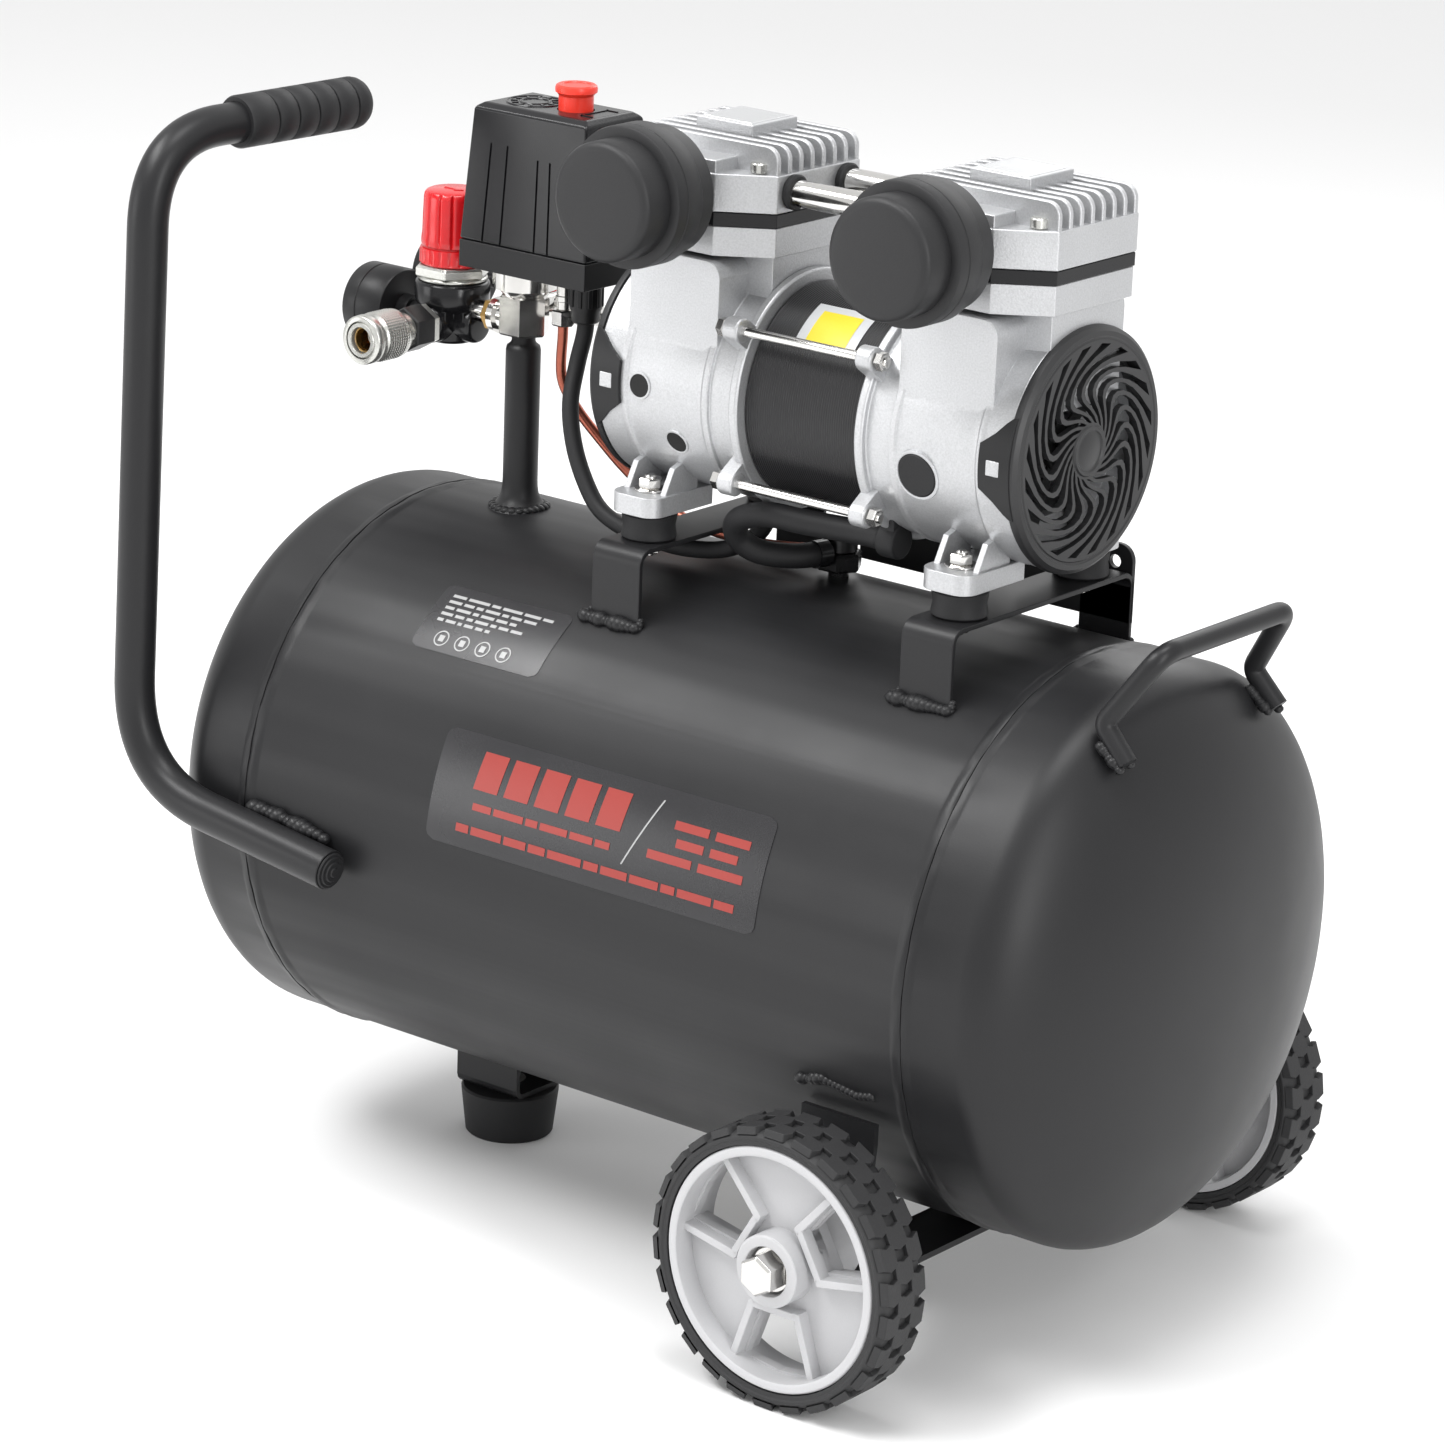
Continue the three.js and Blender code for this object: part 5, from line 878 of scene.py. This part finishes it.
def make_crankcase(name, side):
    """Drawn for the right side about the motor's middle; the left one is its mirror image."""
    shell = [(34, 0), (34, 57), (35, 58), (38.2, 58), (39, 57.2), (39, 54.9), (40, 54.5), (52.4, 54.5),
             (53, 56.2), (56, 56.2), (57, 55.4), (60, 55.2), (98, 55.2), (101, 55.4), (102, 56.4),
             (104.5, 56.6), (106, 56.0), (118.4, 57.0), (119, 56.4), (119, 50.4), (104, 50.4), (104, 0)]
    panel = [(CYLINDER - 26.5, 10), (CYLINDER + 26.5, 10)]
    panel += arc(CYLINDER + 18.5, 56.6, 8, 0, 90) + arc(CYLINDER - 18.5, 56.6, 8, 90, 180)
    shapes = [
        lathe(shell, "X", ORIGIN, 128),
        block((CYLINDER - 40.5, -28, 20), (CYLINDER + 40.5, 28, 67)),
        prism(panel, -50, 50, "Y"),
        prism(plan(0.8), 66.6, 80.6),
    ]
    for y, z in ((-1, 1), (-1, -1), (1, 1), (1, -1)):
        centre = (0, y * ROD_Y, z * ROD_Z)
        shapes.append(disc(6, 34, 43, "X", centre, 32, 0.8))
        inward = Vector((0, -y * ROD_Y, -z * ROD_Z)).normalized()
        turn = Matrix.Rotation(math.atan2(inward.z, inward.y), 3, "X")
        shapes.append(moved(block((34.5, 0, -6), (42.5, 16, 6)), centre, turn))
    foot_low, foot_high = -61.1, -51.4
    middle_x = 91.25
    for end in (-1, 1):
        outline = [(middle_x - 14, 18), (middle_x + 14, 18)]
        outline += arc(middle_x + 6, 55, 8, 0, 90) + arc(middle_x - 6, 55, 8, 90, 180)
        shapes.append(prism([(x, end * y) for x, y in outline], foot_low, foot_high))
        for across in (-1, 1):
            x = middle_x + across * 11
            rib = [(end * 28, foot_high - 1), (end * 28, foot_high + 18), (end * 46, foot_high + 12),
                   (end * 53, foot_high - 1)]
            shapes.append(prism(rib, x - 1.6, x + 1.6, "X"))
    case = piece("pump_case_" + name, "cast", ROOT, [moved(s, PUMP, None, side < 0) for s in shapes],
                 ["crankcase_" + name], bevel=1.3, segments=3)
    piston_room = disc(32.2, -34, 82, "Z", (CYLINDER, 0, 0), 96)
    cut_out(case, [moved(piston_room, PUMP, None, side < 0)])
    work = bmesh.new()
    work.from_mesh(case.data)
    crisp(work, math.radians(31))
    work.to_mesh(case.data)
    work.free()
    level = case.modifiers.new("level", "WEIGHTED_NORMAL")
    level.weight = 100
    level.keep_sharp = True
    if side < 0:
        rim = lathe([(53, 5.6), (55.7, 5.6), (55.9, 6.0), (55.7, 6.6), (53, 6.9), (53, 5.6)], "Z",
                    ORIGIN, 48)
        hole = disc(5.7, 52, 55.45, "Z", ORIGIN, 40)
        places = ((-94, 0), (-75, 26.5))
        piece("vent_rims", "cast", ROOT, [on_case(rim, *place) for place in places], sharp=50)
        piece("vent_holes", "dark", ROOT, [on_case(hole, *place) for place in places])
    else:
        plug = [on_case(disc(10.6, 52, 55.9, "Z", ORIGIN, 64, 0.7), 68, 13)]
        seat = [on_case(lathe([(52, 10.7), (55.5, 10.7), (55.7, 11.2), (55.4, 12.2), (52, 12.6),
                               (52, 10.7)], "Z", ORIGIN, 64), 68, 13)]
        piece("case_plug", "rubber", ROOT, plug)
        piece("case_plug_seat", "cast", ROOT, seat, sharp=50)
        nipple_z = 368.4 - PUMP.z
        nipple = [disc(8.4, 32.4, 43, "X", (0, -28, nipple_z), 40, 0.8),
                  block((34.4, -34, nipple_z), (42, -20, nipple_z + 14))]
        piece("hose_boss", "rubber", ROOT, [moved(s, PUMP) for s in nipple], bevel=0.8)


def make_head(name, side):
    base = 87.5
    fin_top = base + 31

    def put(shapes):
        return [moved(s, PUMP, None, side < 0) for s in shapes]

    piece("gasket_" + name, "gloss", ROOT, put([prism(plan(0.4), 80.9, 87.2)]), ["head_gasket_" + name],
          bevel=0.3)
    shapes = [prism(plan(0), base, base + 18),
              block((CYLINDER - 19.5, -47, base + 1), (CYLINDER + 19.5, 47, base + 24)),
              block((CYLINDER - 17, -17, base + 16), (CYLINDER + 17, 17, base + 36))]
    fin = [(CYLINDER - 43.4, base + 15), (CYLINDER + 43.4, base + 15)]
    fin += arc(CYLINDER + 36.4, fin_top - 7, 7, 0, 90) + arc(CYLINDER - 36.4, fin_top - 7, 7, 90, 180)
    count = 8
    for i in range(count):
        y = -29.6 + 59.2 * i / (count - 1)
        shapes.append(prism(fin, y - 1.5, y + 1.5, "Y"))
    piece("finned_head_" + name, "cast", ROOT, put(shapes), ["cylinder_head_" + name], bevel=0.8,
          segments=3)
    piece("head_pad_" + name, "machined", ROOT,
          put([block((CYLINDER - 14.5, -14.5, base + 35), (CYLINDER + 14.5, 14.5, base + 36.3))]),
          bevel=0.3)
    screws = [disc(4.2, base + 18, base + 23, "Z", (CYLINDER + x, y, 0), 32, 0.6)
              for y in (-31.39, 31.39) for x in (-33, 33)]
    piece("head_screws_" + name, "zinc", ROOT, put(screws))


def make_filter(name):
    node = "air_filter_" + name
    c = middle(node)
    front = low(node).y
    profile = [(0, 0), (0, 20.4), (0.3, 23.4), (0.5, 25.4), (1.6, 27.2), (3.2, 28), (17, 28.1), (17, 32.0),
               (17.6, 33.0), (18.8, 33.3), (23.4, 33.3), (23.7, 32.9), (24.3, 32.9), (24.6, 33.3),
               (34.0, 33.3), (35, 32.6), (35.3, 31.6), (45.5, 30.5), (46.8, 29), (47, 12), (54, 9.0),
               (65, 9.0), (65, 0)]
    piece("filter_" + name, "matt", ROOT, [lathe(profile, "Y", (c.x, front, c.z), 128)], [node], sharp=40)


def swirl_slot(index, count, inner, outer, share):
    """One slot of the grille, curved like an S between the hub and the rim."""
    pitch = 2 * math.pi / count
    edges = []
    for offset in (-0.5 * share, 0.5 * share):
        points = []
        for i in range(13):
            t = i / 12
            radius = inner + (outer - inner) * t
            sweep_angle = 0.60 * math.sin(math.pi * 1.35 * t) + 0.35 * t
            width = 0.65 + 0.35 * math.sin(math.pi * min(1.0, t * 1.15))
            angle = (index + offset * width) * pitch + sweep_angle
            points.append((radius * math.cos(angle), radius * math.sin(angle)))
        edges.append(points)
    return edges[0] + edges[1][::-1]


def make_fan_cover(name, side):
    dish = [(124.6, 0), (124.6, 51.2), (124.2, 51.8), (124.2, 52.4), (124.6, 53), (124.4, 55.2),
            (122.8, 57.2), (121, 57.7), (119.3, 57.7), (119.3, 49.9), (113.3, 49.9), (113.3, 48.0),
            (121.6, 48.0), (121.6, 0)]
    turn = None if side > 0 else Matrix.Rotation(math.pi, 3, "Z")
    cover = piece("grille_" + name, "cover", ROOT,
                  [moved(lathe(dish, "X", ORIGIN, 128), PUMP, turn)], ["fan_cover_" + name], sharp=30)
    count = 20
    slots = [moved(prism(swirl_slot(i, count, 13.2, 49.6, 0.70), 118, 128, "X"), PUMP, turn)
             for i in range(count)]
    cut_out(cover, slots)
    hub = [(125.2, 0), (125.2, 7.6), (124.9, 8.2), (124.9, 9.4), (125.4, 10), (125.4, 11.4),
           (124.4, 12.2), (122, 12.4), (122, 0)]
    piece("grille_hub_" + name, "cover", ROOT, [moved(lathe(hub, "X", ORIGIN, 64), PUMP, turn)])
    steps = 14
    width = steps + 1
    rows = [(104.4, 10.5), (106, 11.6), (112, 16.2), (117, 21.5), (119.4, 23.5), (121.5, 24)]
    for end, place in ((-1, "front"), (1, "rear")):
        verts, faces = [], []
        for x, half in rows:
            for radius in (58.3, 56.2):
                for k in range(steps + 1):
                    z = -half + 2 * half * k / steps
                    angle = math.asin(z / 58.0)
                    verts.append(Vector((x, end * radius * math.cos(angle), radius * math.sin(angle))))
        for r in range(len(rows) - 1):
            for layer in range(2):
                base = (2 * r + layer) * width
                above = (2 * (r + 1) + layer) * width
                for k in range(steps):
                    faces.append((base + k, base + k + 1, above + k + 1, above + k))
            for k in (0, steps):
                a, b = 2 * r * width + k, (2 * r + 1) * width + k
                c, d = (2 * (r + 1) + 1) * width + k, 2 * (r + 1) * width + k
                faces.append((a, b, c, d))
        for r in (0, len(rows) - 1):
            for k in range(steps):
                a = 2 * r * width + k
                b = (2 * r + 1) * width + k
                faces.append((a, a + 1, b + 1, b))
        piece("grille_tab_%s_%s" % (name, place), "plastic", ROOT, [moved((verts, faces), PUMP, turn)],
              bevel=0.4)
        near, far = sorted((end * 54, end * 58.55))
        piece("tab_latch_%s_%s" % (name, place), "cast", ROOT,
              [moved(block((108.8, near, -3.6), (116, far, 3.6)), PUMP, turn)], bevel=0.5)


def make_rotor():
    crank_throw, shaft_end = 5, 110
    shapes = [disc(30, -33, 33, "X", PUMP, 72, 0.6),
              disc(6, -shaft_end, shaft_end, "X", PUMP, 32, 0.6)]
    for x in (-CYLINDER, CYLINDER):
        shapes.append(disc(12, x - 5, x + 5, "X", PUMP + Vector((0, 0, crank_throw)), 48, 0.5))
    piece("rotor_core", "zinc", "rotor", shapes, ["rotor_shaft"])
    blades = []
    for start in (-shaft_end, shaft_end - 4):
        blades.append(disc(12, start, start + 4, "X", PUMP, 48, 0.6))
        vane = prism([(-3.0, 9), (2.0, 9), (6.5, 44), (4.0, 45), (-5.0, 44)], start, start + 1.6, "X")
        blades += around(vane, 7, PUMP, "X")
    piece("fan_blades", "dark", "rotor", blades, bevel=0.3)


def make_pipes():
    head_face = CYLINDER - 44
    end_x = head_face + 5.5
    profile = [(-end_x, 5), (-end_x, 6.35), (end_x, 6.35), (end_x, 5), (-end_x, 5)]
    collar = ((0, 6.3), (0, 8.2), (2.6, 8.4), (3.4, 7.6), (3.4, 6.3), (0, 6.3))
    for name in ("front", "rear"):
        node = "transfer_pipe_" + name
        c = middle(node)
        collars = [lathe([(edge * (head_face - 0.2 - inward), r) for inward, r in collar], "X", c, 48)
                   for edge in (-1, 1)]
        piece("chrome_pipe_" + name, "chrome", ROOT, [lathe(profile, "X", c, 64)], [node])
        piece("pipe_seals_" + name, "rubber", ROOT, collars)


make_motor()
for side_name, sign in SIDES:
    make_crankcase(side_name, sign)
    make_head(side_name, sign)
    make_filter(side_name)
    make_fan_cover(side_name, sign)
    dress("piston_" + side_name, "machined", 0.0)
make_rotor()
make_pipes()


# ---------------------------------------------------------------- manifold, switch, regulator

def make_riser():
    c = middle("riser_pipe")
    foot = TANK.z + TANK_RADIUS - 1.5
    flare = ((0, 0), (0, 16), (1.5, 15), (4, 11.5), (8, 9.4), (12, 8.8), (16, 8.7))
    profile = [(foot + rise, r) for rise, r in flare]
    profile += [(409.5, 8.7), (411.6, 8.2), (412.8, 6.6), (414, 5.9), (417.4, 5.9), (417.4, 0)]
    piece("riser_tube", "tank", ROOT, [lathe(profile, "Z", (c.x, 0, 0), 64)], ["riser_pipe"], sharp=50)
    beads = []
    count, ring_radius = 22, 12.5
    for i in range(count):
        angle = 2 * math.pi * i / count
        x, y = ring_radius * math.cos(angle), ring_radius * math.sin(angle)
        z = TANK.z + math.sqrt(TANK_RADIUS ** 2 - y ** 2) + 0.6
        beads.append(ball((c.x + x, y, z), 2.6, (1.2, 1.2, 0.8), 10))
    piece("riser_weld", "tank", ROOT, beads, sharp=80)


def make_manifold():
    x = middle("riser_pipe").x
    gauge_y, gauge_z = middle("tank_gauge").yz
    inlet = (x, 0, 424)
    shapes = [hexagon(22.5, 417.5, 437.5, "Z", (x, 0, 0), 1.0),
              lathe([(437, 0), (437, 10.5), (440, 13), (441, 16), (450.8, 16), (451.4, 15.4), (451.4, 0)],
                    "Z", (x, 0, 0), 64),
              lathe([(-14, 0), (-14, 9), (-17.5, 9), (-17.5, 5.6), (-33.5, 5.6), (-33.5, 0)], "X", inlet,
                    48),
              disc(7.2, -14.5, 0, "X", inlet, 48, 0.4),
              disc(6, 0, gauge_y + 6, "Y", (x, 0, gauge_z), 48, 0.8),
              disc(5.5, -16, 0, "X", (x, gauge_y, gauge_z), 40, 0.4)]
    valve_y = middle("safety_valve_ring").y
    shapes.append(lathe([(0, 0), (0, 5), (16, 5), (16, 6.4), (18, 6.8), (25, 6.8), (26.5, 6.2),
                         (26.5, 5.2), (31, 5.2), (31, 0)], "X", (x, valve_y, gauge_z), 40))
    piece("manifold_block", "chrome", ROOT, shapes, ["manifold"], sharp=28)
    piece("inlet_nut", "brass", ROOT, [hexagon(14, -22.5, -17.8, "X", inlet, 0.8)])
    ring_low, ring_high = low("safety_valve_ring"), high("safety_valve_ring")
    centre = Vector((ring_high.x - 7.1, valve_y, gauge_z))
    turns = [2 * math.pi * i / 40 for i in range(41)]
    loop = [centre + Vector((6 * math.cos(a), 0, 6 * math.sin(a))) for a in turns]
    spindle = disc(1.7, ring_low.x + 0.2, centre.x - 5.5, "X", (0, valve_y, gauge_z), 20, 0.2)
    piece("pull_ring", "zinc", "safety_ring", [sweep(loop, 1.1, 12), spindle], ["safety_valve_ring"],
          sharp=60)


def make_switch():
    cover_low, cover_high = low("switch_cover"), high("switch_cover")
    c = middle("switch_cover")
    z0, z1 = 451.7, cover_low.z - 0.3
    half_x, half_y = (cover_high.x - cover_low.x) / 2, (cover_high.y - cover_low.y) / 2
    tray = [block((c.x - half_x, -half_y, z0), (c.x + half_x, half_y, z1)),
            block((c.x - half_x + 1.5, -half_y + 1.5, z1 - 0.2),
                  (c.x + half_x - 1.5, half_y - 1.5, z1 + 1))]
    gland, nut_x = (-110.0, 0, 0), -124.0
    tray.append(lathe([(430, 4.6), (430, 6.4), (431, 7), (436, 7.4), (437, 8), (452, 8), (452, 4.6),
                       (430, 4.6)], "Z", gland, 48))
    tray += around(block((7.2, -1.2, 438), (8.7, 1.2, 449)), 10, gland)
    piece("switch_tray", "plastic", ROOT, tray, ["switch_base"], bevel=0.7)
    piece("unloader_nut", "chrome", ROOT,
          [hexagon(10.5, 426, 434, "Z", (nut_x, 0, 0), 0.8),
           disc(3.6, 434, 452, "Z", (nut_x, 0, 0), 24, 0.3),
           disc(4.2, 438, 441, "Z", (nut_x, 0, 0), 24, 0.3)])

    def level(z, hx, hy):
        return [Vector((c.x + sx * hx, sy * hy, z)) for sx, sy in ((-1, -1), (1, -1), (1, 1), (-1, 1))]

    shoulder, top = 530.5, cover_high.z
    rings = [level(cover_low.z, half_x, half_y), level(shoulder, half_x - 4.5, half_y - 3.5),
             level(top, half_x - 8.2, half_y - 7.2)]
    verts = [v for ring in rings for v in ring]
    faces = [(3, 2, 1, 0), (8, 9, 10, 11)]
    for a, b in ((0, 4), (4, 8)):
        faces += [(a + i, a + (i + 1) % 4, b + (i + 1) % 4, b + i) for i in range(4)]
    cover = piece("switch_hood", "gloss", ROOT, [(verts, faces)], ["switch_cover"], bevel=1.2, segments=3)
    grooves = []
    for x, rise in ((-25.5, 50), (-14, 50), (7.5, 46), (16.0, 46)):
        for end in (-1, 1):
            near, far = sorted((end * (half_y - 1), end * (half_y + 1)))
            start = Vector((c.x + x, 0, cover_low.z - 1))
            verts, faces = block(start + Vector((-0.6, near, 0)), start + Vector((0.6, far, rise)))
            slant = Vector((-4.0 * x / half_x, -end * 3.2 * rise / 65, 0))
            grooves.append(([v + slant if v.z > start.z + 1 else v for v in verts], faces))
    button = middle("switch_button")
    cut_out(cover, grooves + [disc(9.2, 515, 540, "Z", (button.x, 0, 0), 48)])
    dial = (c.x - 15, 0, top)
    marks = [lathe([(0, r), (0.5, r + 0.3), (0.5, r + 0.9), (0, r + 1.2), (0, r)], "Z", dial, 64)
             for r in (13.2, 6.5)]
    marks += around(block((8.6, -0.5, 0), (11.8, 0.5, 0.45)), 12, dial)
    for x1, y0, y1 in ((23, -10, 10), (29, -10, -9), (29, 9, 10)):
        marks.append(block((c.x + 22, y0, top), (c.x + x1, y1, top + 0.45)))
    piece("switch_marks", "gloss", ROOT, marks)
    profile = [(508, 0), (508, 8.5), (540.0, 8.5), (541.2, 9.4), (541.8, 10.2), (543.6, 10.3),
               (544.8, 9.9), (545.4, 9.0), (545.2, 7.4), (544.8, 7.0), (544.8, 0)]
    piece("push_knob", "orange", "button", [lathe(profile, "Z", (button.x, 0, 0), 72)], ["switch_button"])


def make_regulator():
    x = middle("regulator_knob").x
    outlet_z = middle("coupler_sleeve").z
    barrel = [(422, 0), (422, 14.5), (424.5, 17.2), (426.4, 18.5), (428, 18.7), (435.4, 18.7),
              (436.6, 18.1), (437.0, 16.5), (437.0, 0)]
    shapes = [lathe(barrel, "Z", (x, 0, 0), 96),
              lathe([(406, 0), (406, 10.5), (407.2, 12), (425, 13.5), (425, 0)], "Z", (x, 0, 0), 64)]
    lobe = lathe([(4, 0), (4, 9.4), (16.4, 9.4), (18.1, 8.6), (18.6, 7.2), (18.6, 0)], "X",
                 (0, 0, outlet_z), 48)
    for shape in (lobe, block((4, -9.2, outlet_z), (15.5, 9.2, 424))):
        shapes += around(shape, 4, (x, 0, 0))
    piece("regulator_casting", "gloss", ROOT, shapes, ["regulator_body"], bevel=0.8, segments=3)
    nut = [hexagon(33.5, 438.6, 445, "Z", (x, 0, 0), 1.4),
           disc(17.4, 437.1, 439.2, "Z", (x, 0, 0), 64, 0.6)]
    piece("regulator_nut", "zinc", ROOT, nut, bevel=0.3)

    def flutes(angle, along, radius):
        """Fine notches round the knob's foot and wider grooves above them."""
        if along < 446.2 or along > 480.6 or 453.2 < along < 455.6:
            return radius
        if along < 453.2:
            return radius - 0.8 * max(0.0, math.cos(20 * angle)) ** 2
        wave = max(0.0, math.cos(14 * angle)) ** 6
        return radius - 1.1 * wave

    profile = [(445.3, 0), (445.3, 16.0), (446, 16.6), (446.4, 16.6), (452.6, 16.6), (453.4, 16.2),
               (453.6, 15.0), (454.6, 14.6), (454.8, 15.7), (455.8, 15.9), (458, 15.9), (461, 15.5),
               (470, 15.3), (478.5, 15.0), (480.4, 14.6), (481.4, 13.8), (482, 12.4), (482, 0)]
    piece("adjusting_knob", "red", "regulator_knob", [lathe(profile, "Z", (x, 0, 0), 168, flutes)],
          ["regulator_knob"], sharp=45)
    piece("knob_arrow", "red", "regulator_knob",
          [prism([(x - 6, -1), (x + 2, -1), (x + 2, -3), (x + 6, 0), (x + 2, 3), (x + 2, 1), (x - 6, 1)],
                 481.9, 482.5)], bevel=0.15)

    centre = (x, 0, outlet_z)
    body = [hexagon(19, -36, -19, "Y", centre, 1.0), disc(5, -20, -13.9, "Y", centre, 32),
            lathe([(-35.5, 0), (-35.5, 9), (-66.2, 9), (-67, 8.4), (-67, 6.6), (-66.2, 6.2), (-56, 6.2),
                   (-55, 5.2), (-42, 5.2), (-42, 0)], "Y", centre, 64)]
    piece("coupler_core", "zinc", ROOT, body, ["coupler_body"], sharp=28)
    piece("coupler_inside", "brass", ROOT,
          [lathe([(-64, 6.2), (-64, 5.6), (-52, 5.6), (-50, 4.4), (-43, 4.4), (-43, 0), (-42.5, 0),
                  (-42.5, 6.1), (-52, 6.2), (-64, 6.2)], "Y", centre, 48)])
    piece("coupler_hex", "plastic", ROOT, [hexagon(20, -36.2, -23, "Y", centre, 0.8)])

    def knurl(angle, along, radius):
        """Crossed ridges over the sleeve's middle."""
        if not -57.5 < along < -45.5:
            return radius
        cross = math.sin(26 * angle + along * 1.9) * math.sin(26 * angle - along * 1.9)
        return radius + 0.28 * cross

    profile = [(-67, 9.3), (-67, 11.4), (-66.4, 12.1), (-62.4, 12.3), (-61.6, 11.6), (-61.0, 11.0),
               (-59.8, 11.0), (-59.0, 11.7), (-58.2, 12.2)]
    profile += [(-57.4 + 0.4 * i, 12.25) for i in range(30)]
    profile += [(-45.0, 12.2), (-43.2, 12.1), (-42.2, 11.2), (-42, 10.2), (-42, 9.3), (-67, 9.3)]
    piece("coupler_collar", "zinc", "coupler_sleeve", [lathe(profile, "Y", centre, 208, knurl)],
          ["coupler_sleeve"], sharp=60)


def make_gauge(node, needle_node, needle_body, stem_radius):
    c = middle(node)
    face = low(node).x
    end = high(node).x
    centre = (0, c.y, c.z)
    outline = ((3.9, 0), (3.9, 17.6), (0.2, 17.9), (0, 18.6), (0.4, 19.5), (1.4, 20), (8.5, 20),
               (8.9, 19.5), (9.5, 19.5), (9.9, 20), (23.5, 20), (24.8, 19.2), (25, 18), (25, 7.5), (31, 7))
    case = [(face + along, r) for along, r in outline]
    case += [(face + 31, stem_radius), (end, stem_radius), (end, 0)]
    piece(node + "_case", "plastic", ROOT, [lathe(case, "X", centre, 96)], [node])
    piece(node + "_dial", "dial", ROOT, [disc(17.3, face + 3.7, face + 4.3, "X", centre, 64)])
    ticks = []
    for i in range(29):
        angle = math.radians(135 - 270 * i / 28)
        r0, half = (13.8, 0.16) if i % 4 else (12.2, 0.32)
        tick = block((face + 3.55, -half, r0), (face + 3.75, half, 15.6))
        ticks.append(moved(tick, centre, Matrix.Rotation(angle, 3, "X")))
    piece(node + "_ticks", "print_dark", ROOT, ticks)
    turns = [math.radians(-60 - 75 * i / 24) for i in range(25)]
    band = [Vector((face + 3.6, r * -math.sin(a), r * math.cos(a))) for a in turns for r in (10.4, 11.4)]
    piece(node + "_band", "print_red", ROOT, [moved(strip(band), centre)])
    rest = Matrix.Rotation(math.radians(-135), 3, "X")
    pointer = [prism([(-1.0, -3.5), (1.0, -3.5), (0.5, 8), (0.2, 12.6), (-0.2, 12.6), (-0.5, 8)],
                     face + 2.3, face + 2.9, "X"),
               disc(1.8, face + 2.1, face + 3.3, "X", ORIGIN, 24, 0.2)]
    piece(needle_node + "_pointer", "print_dark", needle_body, [moved(s, centre, rest) for s in pointer],
          [needle_node])


def make_hoses():
    case_x = PUMP.x + 33.7
    start_z = PUMP.z - 54
    hose = [(case_x, -28, start_z), (84, -28, start_z), (55, -33, 368.5), (32, -34, 368), (13, -31, 361),
            (9, -26, 351), (16, -19, 344), (29, -10, 342.5), (36, -2, 343), (38, 5.7, 343)]
    piece("delivery_line", "rubber", ROOT, [sweep(flowing(hose, 8), 6, 24)], ["delivery_hose"], sharp=60)
    clamp = lathe([(-3.5, 5.8), (-3.5, 6.7), (3.5, 6.7), (3.5, 5.8), (-3.5, 5.8)], "Z", ORIGIN, 40)
    turn = Vector((0.25, 1, 0)).to_track_quat("Z", "Y").to_matrix()
    piece("hose_clamps", "gloss", ROOT, [moved(clamp, (37.2, 1.5, 343), turn)])
    lead = [(-110, 0, 441), (-110, 0, 426), (-111, -4, 410), (-108, -12, 392), (-101, -17, 374),
            (-91, -20, 358), (-79, -22, 346), (-62, -22, 339.5), (-44, -20, 337), (-26, -18, 336.5),
            (-8, -13, 339), (5, -7, 347), (10, -4, 357), (11, -4, PUMP.z - 56.3)]
    piece("motor_lead", "rubber", ROOT, [sweep(flowing(lead, 6), 4.2, 20)], ["power_lead"], sharp=60)
    line = [(-124, 0, 433), (-124, 0, 422), (-124, 0, 400), (-116, 2, 386), (-104, 6, 372),
            (-88, 10, 357), (-66, 12, 344), (-42, 12, 338), (-12, 12, 337), (12, 14, 338.5),
            (27.7, 16, 341)]
    piece("unloader_line", "copper", ROOT, [sweep(flowing(line, 6), 2.6, 16)], ["unloader_tube"], sharp=60)
    valve = middle("check_valve")
    centre = (valve.x, valve.y, 0)
    seat = 333.0
    piece("check_valve_body", "dark_metal", ROOT,
          [hexagon(20, seat, seat + 9, "Z", centre, 1.2), disc(8.6, seat + 9, 352, "Z", centre, 48, 0.8),
           disc(5, 318, 333, "Z", centre, 24)], ["check_valve"])


make_riser()
make_manifold()
make_switch()
make_regulator()
make_gauge("outlet_gauge", "outlet_gauge_needle", "outlet_needle", 5)
make_gauge("tank_gauge", "tank_gauge_needle", "tank_needle", 3.5)
make_hoses()
